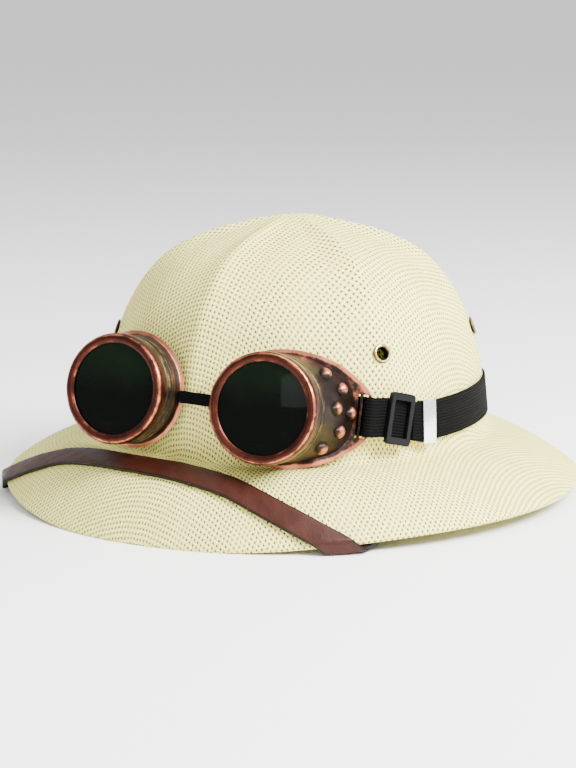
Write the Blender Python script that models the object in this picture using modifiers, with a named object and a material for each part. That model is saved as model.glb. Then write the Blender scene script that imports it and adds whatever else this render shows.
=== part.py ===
"""Straw pith helmet with a leather chin strap and a pair of round goggles strapped on.

Metres, +Z up. The front looks along -Y and the wearer's left is +X. The helmet
stands by itself on the plane z = 0, on the front and back arcs of its brim.
"""
from collections import namedtuple
from math import acos, atan2, cos, degrees, hypot, pi, radians, sin, sqrt

import bmesh
import bpy
from mathutils import Matrix, Vector

MM = 0.001

# Straw shell: crown and brim pressed in one piece
HAT_HEIGHT = 147 * MM
CROWN_HALF_WIDTH = 101 * MM
CROWN_FRONT = 109 * MM
CROWN_BACK = 118 * MM
FOOT_HEIGHT = 32 * MM
FOOT_FILLET = 8 * MM
BRIM_HALF_WIDTH = 156 * MM
BRIM_FRONT = 157.5 * MM
BRIM_BACK = 157.5 * MM
BRIM_SIDE_LIFT = 7.4 * MM
BRIM_FRONT_BULGE = 13 * MM
BRIM_SIDE_BULGE = 4 * MM
HEM_DROP = 2.6 * MM
STRAW_WALL = 2 * MM
RIDGE_COUNT = 6
RIDGE_HEIGHT = 2.2 * MM
PEAK_HEIGHT = 1.6 * MM
REST_ARC = 0.22
AROUND_SHELL = 60
CROWN_RINGS = 9
FILLET_RINGS = 2
BRIM_RINGS = 4

# Eyelets: rolled brass tubes set through the side ridges
EYELET_TURNS = (60, 120, 240, 300)
EYELET_RISE = 0.47
EYELET_RADIUS = 5.1 * MM
EYELET_BARREL = 3.9 * MM
EYELET_HOLE = 3.3 * MM
EYELET_LIP = 1.0 * MM
EYELET_SIDES = 10

# Goggles: two cups, each with a banded collar, a lens and a screwed ring
GOGGLE_SPACING = 82 * MM
GOGGLE_SIDEWAYS = -1 * MM
GOGGLE_HEIGHT = 70 * MM
GOGGLE_TURN = 7.0
GOGGLE_TOE_OUT = 4.0
GOGGLE_PITCH = 10.5
GOGGLE_ROLL = 2.7
RING_RADIUS = 28 * MM
RING_OPENING = 23 * MM
RING_DEPTH = 8 * MM
LENS_THICKNESS = 2 * MM
LENS_RECESS = 2.2 * MM
COLLAR_WALL = 2.2 * MM
COLLAR_LENGTH = 9 * MM
COLLAR_GROOVE = 0.8 * MM
CUP_WALL = 1.5 * MM
CUP_NOSE_DEPTH = 21 * MM
CUP_TEMPLE_DEPTH = 49 * MM
CUP_NOSE_REACH = 29.4 * MM
CUP_TEMPLE_REACH = 41.5 * MM
FLARE_TEMPLE_REACH = 32.4 * MM
CUP_LOWER_SHARE = 0.82
VENT_RADIUS = 2.8 * MM
LUG_SLOT_WIDTH = 2.8 * MM
LUG_SLIT_WIDTH = 1.2 * MM
LUG_BAR = 2.4 * MM
ROUND_SIDES = 28

# Straps and their fittings
ELASTIC_WIDTH = 20 * MM
ELASTIC_THICKNESS = 1.5 * MM
ELASTIC_HEIGHT = 50 * MM
SLIDER_LENGTH = 17.5 * MM
SLIDER_THICKNESS = 2 * MM
SLIDER_BAR = 3 * MM
SLIDER_PLACE = 16 * MM
CLIP_LENGTH = 8.5 * MM
CLIP_SHEET = 0.7 * MM
CLIP_PLACE = 37 * MM
BRIDGE_WIDTH = 6.2 * MM
BRIDGE_THICKNESS = 1.4 * MM
LEATHER_WIDTH = 12.8 * MM
LEATHER_THICKNESS = 2 * MM
CHIN_STEPS = 36
CHIN_FOLD = 1.2 * MM
CHIN_SHIFT = -7.0

GAP = 0.3 * MM

# Crown from its peak to the top of the foot fillet
CrownRow = namedtuple("CrownRow", "reach rise")
CROWN_SECTIONS = (
    CrownRow(0.000, 1.000),
    CrownRow(0.200, 0.986),
    CrownRow(0.390, 0.945),
    CrownRow(0.610, 0.853),
    CrownRow(0.747, 0.730),
    CrownRow(0.852, 0.565),
    CrownRow(0.932, 0.355),
    CrownRow(0.985, 0.150),
    CrownRow(1.000, 0.000),
)

# Back outline of a cup, turning from the temple over the top to the nose
CupRow = namedtuple("CupRow", "angle outline flare depth")
CUP_SECTIONS = (
    CupRow(0, 1.00, 1.00, 1.00),
    CupRow(12, 1.06, 1.10, 1.00),
    CupRow(32, 0.68, 1.28, 0.80),
    CupRow(50, 0.40, 0.52, 0.58),
    CupRow(68, 0.17, 0.18, 0.35),
    CupRow(90, 0.03, 0.05, 0.17),
    CupRow(125, 0.00, 0.04, 0.03),
    CupRow(180, 0.00, 0.04, 0.00),
)

# Raised vents on a cup's temple side, as shares of the flare there
VentRow = namedtuple("VentRow", "angle along")
VENTS = (
    VentRow(42, 0.38),
    VentRow(24, 0.55),
    VentRow(6, 0.30),
    VentRow(2, 0.78),
    VentRow(-16, 0.52),
    VentRow(-36, 0.35),
)

# Middle line of the chin strap: turn from the front, travel in from the brim's edge
ChinRow = namedtuple("ChinRow", "turn travel")
CHIN_ROUTE = (
    ChinRow(0, 1.00),
    ChinRow(12, 0.96),
    ChinRow(24, 0.80),
    ChinRow(35, 0.46),
    ChinRow(44, 0.11),
    ChinRow(51, -0.20),
    ChinRow(60, -0.57),
    ChinRow(72, -0.94),
)


def curve_value(rows, place):
    """Smooth curve through a table's rows, whose first column is the place along it."""
    last = len(rows) - 1
    step = 0
    while step < last - 1 and place > rows[step + 1][0]:
        step += 1
    low, high = rows[step], rows[step + 1]
    before, after = rows[max(step - 1, 0)], rows[min(step + 2, last)]
    span = high[0] - low[0]
    share = min(max((place - low[0]) / span, 0.0), 1.0)
    values = []
    for column in range(1, len(low)):
        slope_low = (high[column] - before[column]) / (high[0] - before[0]) * span
        slope_high = (after[column] - low[column]) / (after[0] - low[0]) * span
        square, cube = share ** 2, share ** 3
        values.append((2 * cube - 3 * square + 1) * low[column]
                      + (cube - 2 * square + share) * slope_low
                      + (3 * square - 2 * cube) * high[column]
                      + (cube - square) * slope_high)
    return values


def smooth_step(share):
    share = min(max(share, 0.0), 1.0)
    return share * share * (3 - 2 * share)


def length_shares(rows, across, up):
    """A profile's rows with their share of its length put in front."""
    lengths = [0.0]
    for first, second in zip(rows, rows[1:]):
        lengths.append(lengths[-1] + hypot((second[0] - first[0]) * across,
                                           (second[1] - first[1]) * up))
    return [(length / lengths[-1], *row) for length, row in zip(lengths, rows)]


CROWN_RISE = HAT_HEIGHT - PEAK_HEIGHT - FOOT_HEIGHT - FOOT_FILLET
CROWN_CURVE = length_shares(CROWN_SECTIONS, CROWN_HALF_WIDTH, CROWN_RISE)


def plan_point(turn, half_width, front, back):
    """Point of the helmet's egg-shaped plan; turn 0 is the front, a quarter the wearer's left."""
    return Vector((half_width * sin(turn), -(front if cos(turn) > 0 else back) * cos(turn), 0))


def crown_plan(turn):
    return plan_point(turn, CROWN_HALF_WIDTH, CROWN_FRONT, CROWN_BACK)


def brim_plan(turn):
    return plan_point(turn, BRIM_HALF_WIDTH, BRIM_FRONT, BRIM_BACK)


def edge_height(turn):
    """Height of the brim's edge, lifted at the sides and flat where the helmet rests."""
    return BRIM_SIDE_LIFT * smooth_step((abs(sin(turn)) - REST_ARC) / (1 - REST_ARC))


def brim_drop(turn, share):
    """Height of the brim's outer face at a share of its width, rounded over at the front."""
    edge = edge_height(turn) + HEM_DROP
    bulge = BRIM_SIDE_BULGE + (BRIM_FRONT_BULGE - BRIM_SIDE_BULGE) * max(cos(turn), 0) ** 2
    return FOOT_HEIGHT + (edge - FOOT_HEIGHT) * share + bulge * 4 * share * (1 - share)


def ridge_lift(turn, along):
    """Moulded ridge lines from the foot to the low peak, with the panels hollow beside them."""
    wave = (0.5 + 0.5 * cos(RIDGE_COUNT * turn)) ** 3 - 0.3
    return RIDGE_HEIGHT * wave * smooth_step(along / 0.25) * smooth_step((1 - along) / 0.3)


def shell_point(turn, along):
    """Point of the shell's outer face: along 0 is the peak, 1 the foot, 2 the brim, 3 its edge."""
    crown, brim = crown_plan(turn), brim_plan(turn)
    width = (brim - crown).length
    if along <= 1:
        reach, rise = curve_value(CROWN_CURVE, along)
        outward = (1 - smooth_step(1 - along)) * 0.8 + 0.2
        lift = ridge_lift(turn, along)
        point = crown * reach + crown.normalized() * lift * outward
        height = FOOT_HEIGHT + FOOT_FILLET + CROWN_RISE * rise + lift * (1 - outward)
        peak = PEAK_HEIGHT * (1 - smooth_step(along / 0.22))
        return Vector((point.x, point.y, height + peak))
    fillet_share = FOOT_FILLET / width
    if along <= 2:
        share = along - 1
        start, middle, end = (1 - share) ** 2, 2 * share * (1 - share), share ** 2
        height = (start * (FOOT_HEIGHT + FOOT_FILLET) + middle * brim_drop(turn, 0)
                  + end * brim_drop(turn, fillet_share))
        point = crown.lerp(brim, end * fillet_share)
        return Vector((point.x, point.y, height))
    share = fillet_share + (1 - fillet_share) * (along - 2)
    point = crown.lerp(brim, share)
    return Vector((point.x, point.y, brim_drop(turn, share)))


def shell_normal(turn, along):
    """Outward normal of the shell's outer face."""
    nudge = 0.01
    down = shell_point(turn, along + nudge) - shell_point(turn, along - nudge)
    side = shell_point(turn + nudge, along) - shell_point(turn - nudge, along)
    return down.cross(side).normalized()


def shell_along(turn, height):
    """Place down the crown where its outer face has a given height."""
    low, high = 0.05, 1.0
    for _ in range(30):
        middle = (low + high) / 2
        if shell_point(turn, middle).z > height:
            low = middle
        else:
            high = middle
    return (low + high) / 2


# Blender helpers

def empty_file():
    for item in list(bpy.data.objects):
        bpy.data.objects.remove(item, do_unlink=True)


def new_collection(name):
    collection = bpy.data.collections.new(name)
    bpy.context.scene.collection.children.link(collection)
    return collection


def new_material(name, colour, roughness, metallic=0.0):
    material = bpy.data.materials.new(name)
    material.use_nodes = True
    shader = material.node_tree.nodes["Principled BSDF"]
    shader.inputs["Base Color"].default_value = (*colour, 1)
    shader.inputs["Roughness"].default_value = roughness
    shader.inputs["Metallic"].default_value = metallic
    return material


def new_object(name, mesh, material, place=None):
    item = bpy.data.objects.new(name, mesh)
    item.matrix_world = place or Matrix()
    if material:
        mesh.materials.append(material)
        PARTS.objects.link(item)
    else:
        item.hide_render = True
        item.display_type = "WIRE"
        CUTTERS.objects.link(item)
    return item


def mesh_from(name, bm, sharp=40):
    mesh = bpy.data.meshes.new(name)
    bm.to_mesh(mesh)
    bm.free()
    mesh.shade_smooth()
    mesh.set_sharp_from_angle(angle=radians(sharp))
    return mesh


def join_rings(bm, rings, closed=True):
    """Quads between neighbouring rings of vertices."""
    for first, second in zip(rings, rings[1:]):
        count = len(first)
        for index in range(count if closed else count - 1):
            following = (index + 1) % count
            bm.faces.new((first[index], second[index], second[following], first[following]))


def add_solidify(item, thickness, offset):
    wall = item.modifiers.new("Wall", "SOLIDIFY")
    wall.thickness = thickness
    wall.offset = offset
    wall.use_even_offset = True


def add_cut(item, cutter):
    cut = item.modifiers.new("Cut " + cutter.name, "BOOLEAN")
    cut.operation = "DIFFERENCE"
    cut.solver = "EXACT"
    cut.object = cutter


def ribbon_object(name, rows, thickness, material, offset=0.0, place=None):
    """A strap from rows of edge points, given its thickness by Solidify."""
    bm = bmesh.new()
    rings = [[bm.verts.new(point) for point in row] for row in rows]
    join_rings(bm, rings, closed=False)
    item = new_object(name, mesh_from(name, bm), material, place)
    add_solidify(item, thickness, offset)
    return item


def turned_object(name, profile, place, material, steps=ROUND_SIDES):
    """A ring or tube: a closed (radius, height) profile turned about the local Z axis."""
    pairs = zip(profile, profile[1:] + profile[:1])
    if sum(low[0] * high[1] - high[0] * low[1] for low, high in pairs) > 0:
        profile = profile[::-1]
    bm = bmesh.new()
    points = [bm.verts.new((radius, 0, height)) for radius, height in profile]
    for first, second in zip(points, points[1:] + points[:1]):
        bm.edges.new((first, second))
    item = new_object(name, mesh_from(name, bm), material, place)
    screw = item.modifiers.new("Turn", "SCREW")
    screw.steps = screw.render_steps = steps
    screw.use_merge_vertices = True
    screw.merge_threshold = 0.00005
    screw.use_smooth_shade = True
    return item


# Straw shell

def eyelet_place(turn_degrees):
    """Frame of an eyelet: Z out of the crown, origin on the shell's outer face."""
    turn = radians(turn_degrees)
    height = FOOT_HEIGHT + EYELET_RISE * (HAT_HEIGHT - FOOT_HEIGHT)
    along = shell_along(turn, height)
    normal = shell_normal(turn, along)
    side = Vector((0, 0, 1)).cross(normal).normalized()
    axes = Matrix((side, normal.cross(side), normal)).transposed().to_4x4()
    return Matrix.Translation(shell_point(turn, along)) @ axes


def shell_rings():
    """Places of the shell's rings of vertices, from below the peak to the brim's edge."""
    crown = [(index + 1) / CROWN_RINGS for index in range(CROWN_RINGS)]
    fillet = [1 + (index + 1) / FILLET_RINGS for index in range(FILLET_RINGS)]
    brim = [2 + (index + 1) / BRIM_RINGS for index in range(BRIM_RINGS)]
    return crown + fillet + brim


def build_shell(material):
    """Crown and brim: one open surface with a turned-down hem, thickened inwards."""
    bm = bmesh.new()
    turns = [2 * pi * index / AROUND_SHELL for index in range(AROUND_SHELL)]
    rings = []
    for along in shell_rings():
        rings.append([bm.verts.new(shell_point(turn, along)) for turn in turns])
    hem = [bm.verts.new(brim_plan(turn) + Vector((0, 0, edge_height(turn)))) for turn in turns]
    rings.append(hem)
    join_rings(bm, rings)
    peak = bm.verts.new(shell_point(0, 0))
    for index in range(AROUND_SHELL):
        bm.faces.new((peak, rings[0][index], rings[0][(index + 1) % AROUND_SHELL]))
    shell = new_object("shell", mesh_from("shell", bm, 60), material)
    add_solidify(shell, STRAW_WALL, -1)
    for number, turn in enumerate(EYELET_TURNS):
        bm = bmesh.new()
        bmesh.ops.create_cone(bm, cap_ends=True, segments=EYELET_SIDES, radius1=EYELET_BARREL + GAP,
                              radius2=EYELET_BARREL + GAP, depth=12 * MM)
        name = f"eyelet_hole_{number + 1}"
        add_cut(shell, new_object(name, mesh_from(name, bm), None, eyelet_place(turn)))
    return shell


def build_eyelets(material):
    """Each eyelet has a round lip outside and a flatter one inside, joined by its barrel."""
    inner_lip = -(STRAW_WALL + 3 * GAP)
    profile = (
        (EYELET_RADIUS, GAP),
        (EYELET_BARREL, GAP),
        (EYELET_BARREL, inner_lip),
        (EYELET_RADIUS, inner_lip),
        (EYELET_RADIUS, inner_lip - 0.5 * EYELET_LIP),
        (EYELET_HOLE, inner_lip - 0.5 * EYELET_LIP),
        (EYELET_HOLE, GAP + 0.4 * EYELET_LIP),
        (EYELET_BARREL, GAP + EYELET_LIP),
        (EYELET_RADIUS - 0.3 * EYELET_LIP, GAP + 0.8 * EYELET_LIP),
    )
    for number, turn in enumerate(EYELET_TURNS):
        turned_object(f"eyelet_{number + 1}", profile, eyelet_place(turn), material, EYELET_SIDES)


# Goggles

def cup_row(angle):
    """Outline and flare radius and depth of a cup's back, at an angle from the temple."""
    outline, flare, depth = curve_value(CUP_SECTIONS, degrees(acos(cos(angle))))
    if sin(angle) < 0:
        lower = 1 + (CUP_LOWER_SHARE - 1) * sin(angle) ** 2
        outline, flare, depth = outline * lower, flare * lower, depth * lower
    flange = CUP_NOSE_REACH - 1.6 * MM
    return (CUP_NOSE_REACH + (CUP_TEMPLE_REACH - CUP_NOSE_REACH) * outline,
            flange + (FLARE_TEMPLE_REACH - flange) * flare,
            CUP_NOSE_DEPTH + (CUP_TEMPLE_DEPTH - CUP_NOSE_DEPTH) * depth)


NECK_RADIUS = RING_RADIUS - 1.2 * MM
NECK_START = RING_DEPTH + COLLAR_LENGTH + GAP


def cup_point(angle, station, side):
    """Outer face of a cup in its own frame: X to the temple, Y up, Z out of the lens."""
    outline, flare, depth = cup_row(angle)
    start = NECK_START + 1.5 * MM
    table = (
        (0, NECK_RADIUS, NECK_START),
        (1, NECK_RADIUS, start),
        (2, NECK_RADIUS + 0.35 * (flare - NECK_RADIUS), start + 0.40 * (depth - start)),
        (3, NECK_RADIUS + 0.72 * (flare - NECK_RADIUS), start + 0.78 * (depth - start)),
        (4, flare, depth),
        (5, outline, depth + 0.6 * MM),
    )
    low = table[min(int(station), 4)]
    high = table[min(int(station), 4) + 1]
    share = station - low[0]
    radius = low[1] + (high[1] - low[1]) * share
    back = low[2] + (high[2] - low[2]) * share
    return Vector((side * radius * cos(angle), radius * sin(angle), -back))


def goggle_axes(toe_out=0.0):
    """Turned axes of a goggle: columns are its X, Y and Z in the helmet's frame."""
    turn = Matrix.Rotation(radians(GOGGLE_TURN + toe_out), 3, "Z")
    pitch = Matrix.Rotation(-radians(GOGGLE_PITCH), 3, "X")
    roll = Matrix.Rotation(radians(GOGGLE_ROLL), 3, "Y")
    upright = Matrix(((1, 0, 0), (0, 0, -1), (0, 1, 0)))
    return turn @ roll @ pitch @ upright


def goggle_middle(stand_off):
    """Point midway between the two ring fronts, at a distance ahead of the crown."""
    along = shell_along(radians(GOGGLE_TURN), GOGGLE_HEIGHT)
    seat = shell_point(radians(GOGGLE_TURN), along)
    forward = Matrix.Rotation(radians(GOGGLE_TURN), 3, "Z") @ Vector((0, -1, 0))
    across = Vector((-forward.y, forward.x, 0)) * GOGGLE_SIDEWAYS
    return Vector((seat.x, seat.y, GOGGLE_HEIGHT)) + forward * stand_off + across


def goggle_place(side, stand_off):
    sideways = goggle_axes() @ Vector((side * GOGGLE_SPACING / 2, 0, 0))
    axes = goggle_axes(side * GOGGLE_TOE_OUT).to_4x4()
    return Matrix.Translation(goggle_middle(stand_off) + sideways) @ axes


def shell_reach(turn, height):
    """Distance from the helmet's upright axis to its outer face at a height."""
    low, high = 0.02, 3.0
    for _ in range(24):
        middle = (low + high) / 2
        if shell_point(turn, middle).z > height:
            low = middle
        else:
            high = middle
    face = shell_point(turn, (low + high) / 2)
    return hypot(face.x, face.y)


def outside_shell(point, clearance):
    """Whether a point stands off the shell's outer face by a level clearance."""
    length = CROWN_FRONT if point.y < 0 else CROWN_BACK
    turn = atan2(point.x / CROWN_HALF_WIDTH, -point.y / length)
    return hypot(point.x, point.y) > shell_reach(turn, point.z) + clearance


def seat_stand_off():
    """Least distance ahead of the crown at which both cups clear the shell."""
    low, high = 10 * MM, 60 * MM
    backs = [(2 * pi * index / 24, station) for index in range(24) for station in (3, 4, 5)]
    for _ in range(12):
        middle = (low + high) / 2
        clear = True
        for side in (-1, 1):
            place = goggle_place(side, middle)
            for angle, station in backs:
                point = cup_point(angle, station, side) - Vector((0, 0, CUP_WALL))
                clear = clear and outside_shell(place @ point, 5 * GAP)
        low, high = (low, middle) if clear else (middle, high)
    return high


def build_cup(name, side, place, material):
    """Eye cup: neck, flare and back flange as one wall, open through from the lens to the back."""
    bm = bmesh.new()
    angles = [side * 2 * pi * index / ROUND_SIDES for index in range(ROUND_SIDES)]
    rings = []
    for station in (0, 1, 2, 3, 4, 5):
        rings.append([bm.verts.new(cup_point(angle, station, side)) for angle in angles])
    join_rings(bm, rings)
    cup = new_object(name, mesh_from(name, bm, 50), material, place)
    add_solidify(cup, CUP_WALL, -1)
    return cup


def vent_union(cup, name, side, place):
    """Raised teardrop vents joined to a cup's wall."""
    for number, vent in enumerate(VENTS):
        angle = radians(vent.angle)
        point = cup_point(angle, 1 + 3 * vent.along, side)
        down = cup_point(angle, 4, side) - cup_point(angle, 1, side)
        around = cup_point(angle + 0.05, 2.5, side) - cup_point(angle - 0.05, 2.5, side)
        normal = (down.cross(around) * side).normalized()
        bm = bmesh.new()
        bmesh.ops.create_uvsphere(bm, u_segments=8, v_segments=5, radius=VENT_RADIUS)
        axes = Matrix((around.normalized(), normal.cross(around.normalized()), normal))
        bmesh.ops.transform(bm, verts=bm.verts, matrix=Matrix.Translation(point)
                            @ axes.transposed().to_4x4())
        bump = new_object(f"{name}_vent_{number + 1}", mesh_from(name, bm), None, place)
        join = cup.modifiers.new("Vent", "BOOLEAN")
        join.operation = "UNION"
        join.solver = "EXACT"
        join.object = bump


def lug_slots():
    """Slot centres and widths across the temple lug, from its outer bar inwards."""
    strap = CUP_TEMPLE_REACH - LUG_BAR - LUG_SLOT_WIDTH / 2
    slit = strap - LUG_SLOT_WIDTH / 2 - LUG_BAR / 2 - LUG_SLIT_WIDTH / 2
    return (strap, LUG_SLOT_WIDTH), (slit, LUG_SLIT_WIDTH)


def box_cutter(name, size, place):
    bm = bmesh.new()
    bmesh.ops.create_cube(bm, size=1, matrix=Matrix.Diagonal((*size, 1)))
    return new_object(name, mesh_from(name, bm), None, place)


def cut_lug(cup, name, side, place):
    for number, (reach, width) in enumerate(lug_slots()):
        centre = Matrix.Translation((side * reach, 0, -CUP_TEMPLE_DEPTH))
        size = (width, ELASTIC_WIDTH + 2 * MM, 8 * MM)
        add_cut(cup, box_cutter(f"{name}_slot_{number + 1}", size, place @ centre))


def build_ring(name, place, material):
    """Retaining ring: a round front edge over the lens, and a skirt around the collar."""
    seat = RING_RADIUS - COLLAR_WALL - 0.6 * MM
    profile = (
        (RING_OPENING, -LENS_RECESS + GAP),
        (seat, -LENS_RECESS + GAP),
        (seat, -RING_DEPTH),
        (RING_RADIUS - 0.8 * MM, -RING_DEPTH),
        (RING_RADIUS, -RING_DEPTH + 1.6 * MM),
        (RING_RADIUS, -2.6 * MM),
        (RING_RADIUS - 1.0 * MM, -0.8 * MM),
        (RING_RADIUS - 2.6 * MM, 0),
        (RING_OPENING + 0.8 * MM, -0.5 * MM),
    )
    return turned_object(name, profile, place, material)


def build_lens(name, place, material):
    bm = bmesh.new()
    radius = RING_RADIUS - COLLAR_WALL - 0.6 * MM - GAP
    bmesh.ops.create_cone(bm, cap_ends=True, segments=ROUND_SIDES, radius1=radius,
                          radius2=radius, depth=LENS_THICKNESS)
    lift = Matrix.Translation((0, 0, -LENS_RECESS - LENS_THICKNESS / 2))
    bmesh.ops.transform(bm, verts=bm.verts, matrix=lift)
    return new_object(name, mesh_from(name, bm), material, place)


def build_collar(name, place, material):
    """Banded collar: a spigot inside the ring's skirt, then two bands with grooves behind them."""
    outer = RING_RADIUS - 0.6 * MM
    spigot = RING_RADIUS - COLLAR_WALL - 0.6 * MM - GAP
    back = -(RING_DEPTH + COLLAR_LENGTH)
    band = COLLAR_LENGTH / 2
    profile = (
        (spigot, -LENS_RECESS - LENS_THICKNESS - GAP),
        (spigot - COLLAR_WALL, -LENS_RECESS - LENS_THICKNESS - GAP),
        (spigot - COLLAR_WALL, back),
        (outer - COLLAR_GROOVE, back),
        (outer, back + 0.6 * MM),
        (outer, back + band - COLLAR_GROOVE),
        (outer - COLLAR_GROOVE, back + band),
        (outer, back + band + COLLAR_GROOVE),
        (outer, -RING_DEPTH - GAP),
        (spigot, -RING_DEPTH - GAP),
    )
    return turned_object(name, profile, place, material)


def build_goggles(copper, bronze, lens, places):
    for side, word in ((1, "left"), (-1, "right")):
        place = places[side]
        build_ring(f"goggle_ring_{word}", place, copper)
        build_lens(f"goggle_lens_{word}", place, lens)
        build_collar(f"goggle_collar_{word}", place, bronze)
        cup = build_cup(f"goggle_cup_{word}", side, place, bronze)
        vent_union(cup, f"goggle_cup_{word}", side, place)
        cut_lug(cup, f"goggle_cup_{word}", side, place)


# Elastic strap with its slider, tail and end clip

STRAP_LIFT = GAP + ELASTIC_THICKNESS / 2
CLIP_ROOM = CLIP_SHEET + 4 * GAP


def strap_face(turn, height, lift):
    """Middle and width direction of a strap lying on the crown, lifted off its face."""
    faces = []
    for rise in (-ELASTIC_WIDTH / 2, 0, ELASTIC_WIDTH / 2):
        along = min((step / 90 for step in range(1, 181)),
                    key=lambda place: abs(shell_point(turn, place).z - height - rise))
        faces.append(shell_point(turn, along))
    low, waist, high = faces
    width = (high - low).normalized()
    out = Vector((low.x, low.y, 0)).normalized()
    out = (out - width * out.dot(width)).normalized()
    middle = (low + high) / 2
    bulge = max((waist - middle).dot(out), 0)
    return middle + out * (lift + bulge), width


def strap_route(places):
    """Middles and width directions of the elastic from the left lug round to the right one."""
    slot = lug_slots()[0][0]
    front = -CUP_TEMPLE_DEPTH + STRAP_LIFT + 2 * GAP
    outer = CUP_TEMPLE_REACH + STRAP_LIFT
    lug = ((slot, front - 5 * MM), (slot, front - 1.2 * MM), (slot + 0.8 * MM, front - 0.1 * MM),
           (slot + 2.2 * MM, front + 0.2 * MM), (outer - 0.9 * MM, front),
           (outer + 0.2 * MM, front - 1.0 * MM), (outer + 0.6 * MM, front - 2.4 * MM))
    sides = []
    for side in (1, -1):
        place = places[side]
        up = place.to_3x3() @ Vector((0, 1, 0))
        rows = [(place @ Vector((side * reach, 0, back)), up) for reach, back in lug]
        start = rows[-1][0]
        best = None
        for index in range(AROUND_SHELL // 2):
            turn = side * 2 * pi * index / AROUND_SHELL
            face, width = strap_face(turn, ELASTIC_HEIGHT, STRAP_LIFT + CLIP_ROOM)
            angle = atan2(side * (face.x - start.x), face.y - start.y)
            if index > 6 and (best is None or angle > best[0]):
                best = (angle, index, face, width)
        steps = max(int((best[2] - start).length / (6 * MM)), 2)
        for step in range(1, steps):
            share = step / steps
            ease = smooth_step(share)
            middle = start.lerp(best[2], share)
            middle.z = start.z + (best[2].z - start.z) * ease
            rows.append((middle, up.lerp(best[3], ease).normalized()))
        sides.append((rows, best[1]))
    (left, first), (right, last) = sides
    around = []
    final = AROUND_SHELL - last
    for index in range(first, final + 1):
        turn = 2 * pi * index / AROUND_SHELL
        room = CLIP_ROOM * (1 - smooth_step(min(index - first, final - index) / 5))
        around.append(strap_face(turn, ELASTIC_HEIGHT, STRAP_LIFT + GAP + room))
    return left + around + right[::-1]


def route_frame(route, travel, start=6):
    """Frame on the strap at a travel from its lug: X along it, Y across it, Z outwards."""
    for (here, up), (ahead, _) in zip(route[start:], route[start + 1:]):
        step = (ahead - here).length
        if travel <= step:
            along = (ahead - here).normalized()
            out = along.cross(up).normalized()
            axes = Matrix((along, out.cross(along), out)).transposed().to_4x4()
            return Matrix.Translation(here + along * travel) @ axes
        travel -= step
    return Matrix()


def build_elastic(route, material):
    rows = [(middle - up * ELASTIC_WIDTH / 2, middle + up * ELASTIC_WIDTH / 2)
            for middle, up in route]
    return ribbon_object("elastic_strap", rows, ELASTIC_THICKNESS, material)


def plate_with_windows(name, size, windows, place, material, level):
    """Flat plate with windows cut through it, standing at a level above the strap."""
    bm = bmesh.new()
    bmesh.ops.create_cube(bm, size=1, matrix=Matrix.Diagonal((*size, 1)))
    lift = place @ Matrix.Translation((0, 0, level))
    plate = new_object(name, mesh_from(name, bm), material, lift)
    for number, (offset, window) in enumerate(windows):
        cutter = box_cutter(f"{name}_window_{number + 1}", window,
                            lift @ Matrix.Translation(offset))
        add_cut(plate, cutter)
    edge = plate.modifiers.new("Edge", "BEVEL")
    edge.width = 0.4 * MM
    edge.segments = 1
    edge.limit_method = "ANGLE"
    return plate


def build_slider(route, material):
    """Slider: a frame standing on the strap, through whose window the strap shows."""
    place = route_frame(route, SLIDER_PLACE)
    tall = ELASTIC_WIDTH + 2 * (GAP + SLIDER_BAR)
    above = ELASTIC_THICKNESS / 2 + 2 * GAP + SLIDER_THICKNESS / 2
    window = ((SLIDER_LENGTH - 2 * SLIDER_BAR), ELASTIC_WIDTH + 2 * GAP, 3 * SLIDER_THICKNESS)
    return plate_with_windows("slider", (SLIDER_LENGTH, tall, SLIDER_THICKNESS),
                              [((0, 0, 0), window)], place, material, above)


def build_tail_and_clip(route, black, metal):
    """The strap's free end lies on it between the slider and the metal clip on its end."""
    above = ELASTIC_THICKNESS + GAP
    clip = route_frame(route, CLIP_PLACE)
    height = 2 * ELASTIC_THICKNESS + 5 * GAP + 2 * CLIP_SHEET
    size = (CLIP_LENGTH, ELASTIC_WIDTH + 2 * (2 * GAP + CLIP_SHEET), height)
    hollow = (2 * CLIP_LENGTH, ELASTIC_WIDTH + 4 * GAP, height - 2 * CLIP_SHEET)
    plate_with_windows("end_clip", size, [((0, 0, 0), hollow)], clip, metal, above / 2)
    rows = []
    first = SLIDER_PLACE + SLIDER_LENGTH / 2 + 5 * GAP
    last = CLIP_PLACE + CLIP_LENGTH / 2 - MM
    for step in range(7):
        place = route_frame(route, first + (last - first) * step / 6)
        rows.append([place @ Vector((0, across * ELASTIC_WIDTH / 2, above)) for across in (-1, 1)])
    ribbon_object("strap_tail", rows, ELASTIC_THICKNESS, black)


# Bridge strap between the two cups

def build_bridge(places, material):
    """Narrow flat strap whose ends stand against the nose sides of the cups."""
    ends = []
    for side in (1, -1):
        reach = NECK_RADIUS + GAP + 0.6 * MM
        centre = places[side] @ Vector((-side * reach, 0, -NECK_START - 2 * MM))
        ends.append((centre, places[side].to_3x3() @ Vector((0, 1, 0))))
    (left, left_up), (right, right_up) = ends
    rows = []
    for step in range(9):
        share = step / 8
        middle = left.lerp(right, share)
        up = left_up.lerp(right_up, share).normalized() * BRIDGE_WIDTH / 2
        rows.append((middle - up, middle + up))
    ribbon_object("bridge_strap", rows, BRIDGE_THICKNESS, material)


# Leather chin strap

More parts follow.
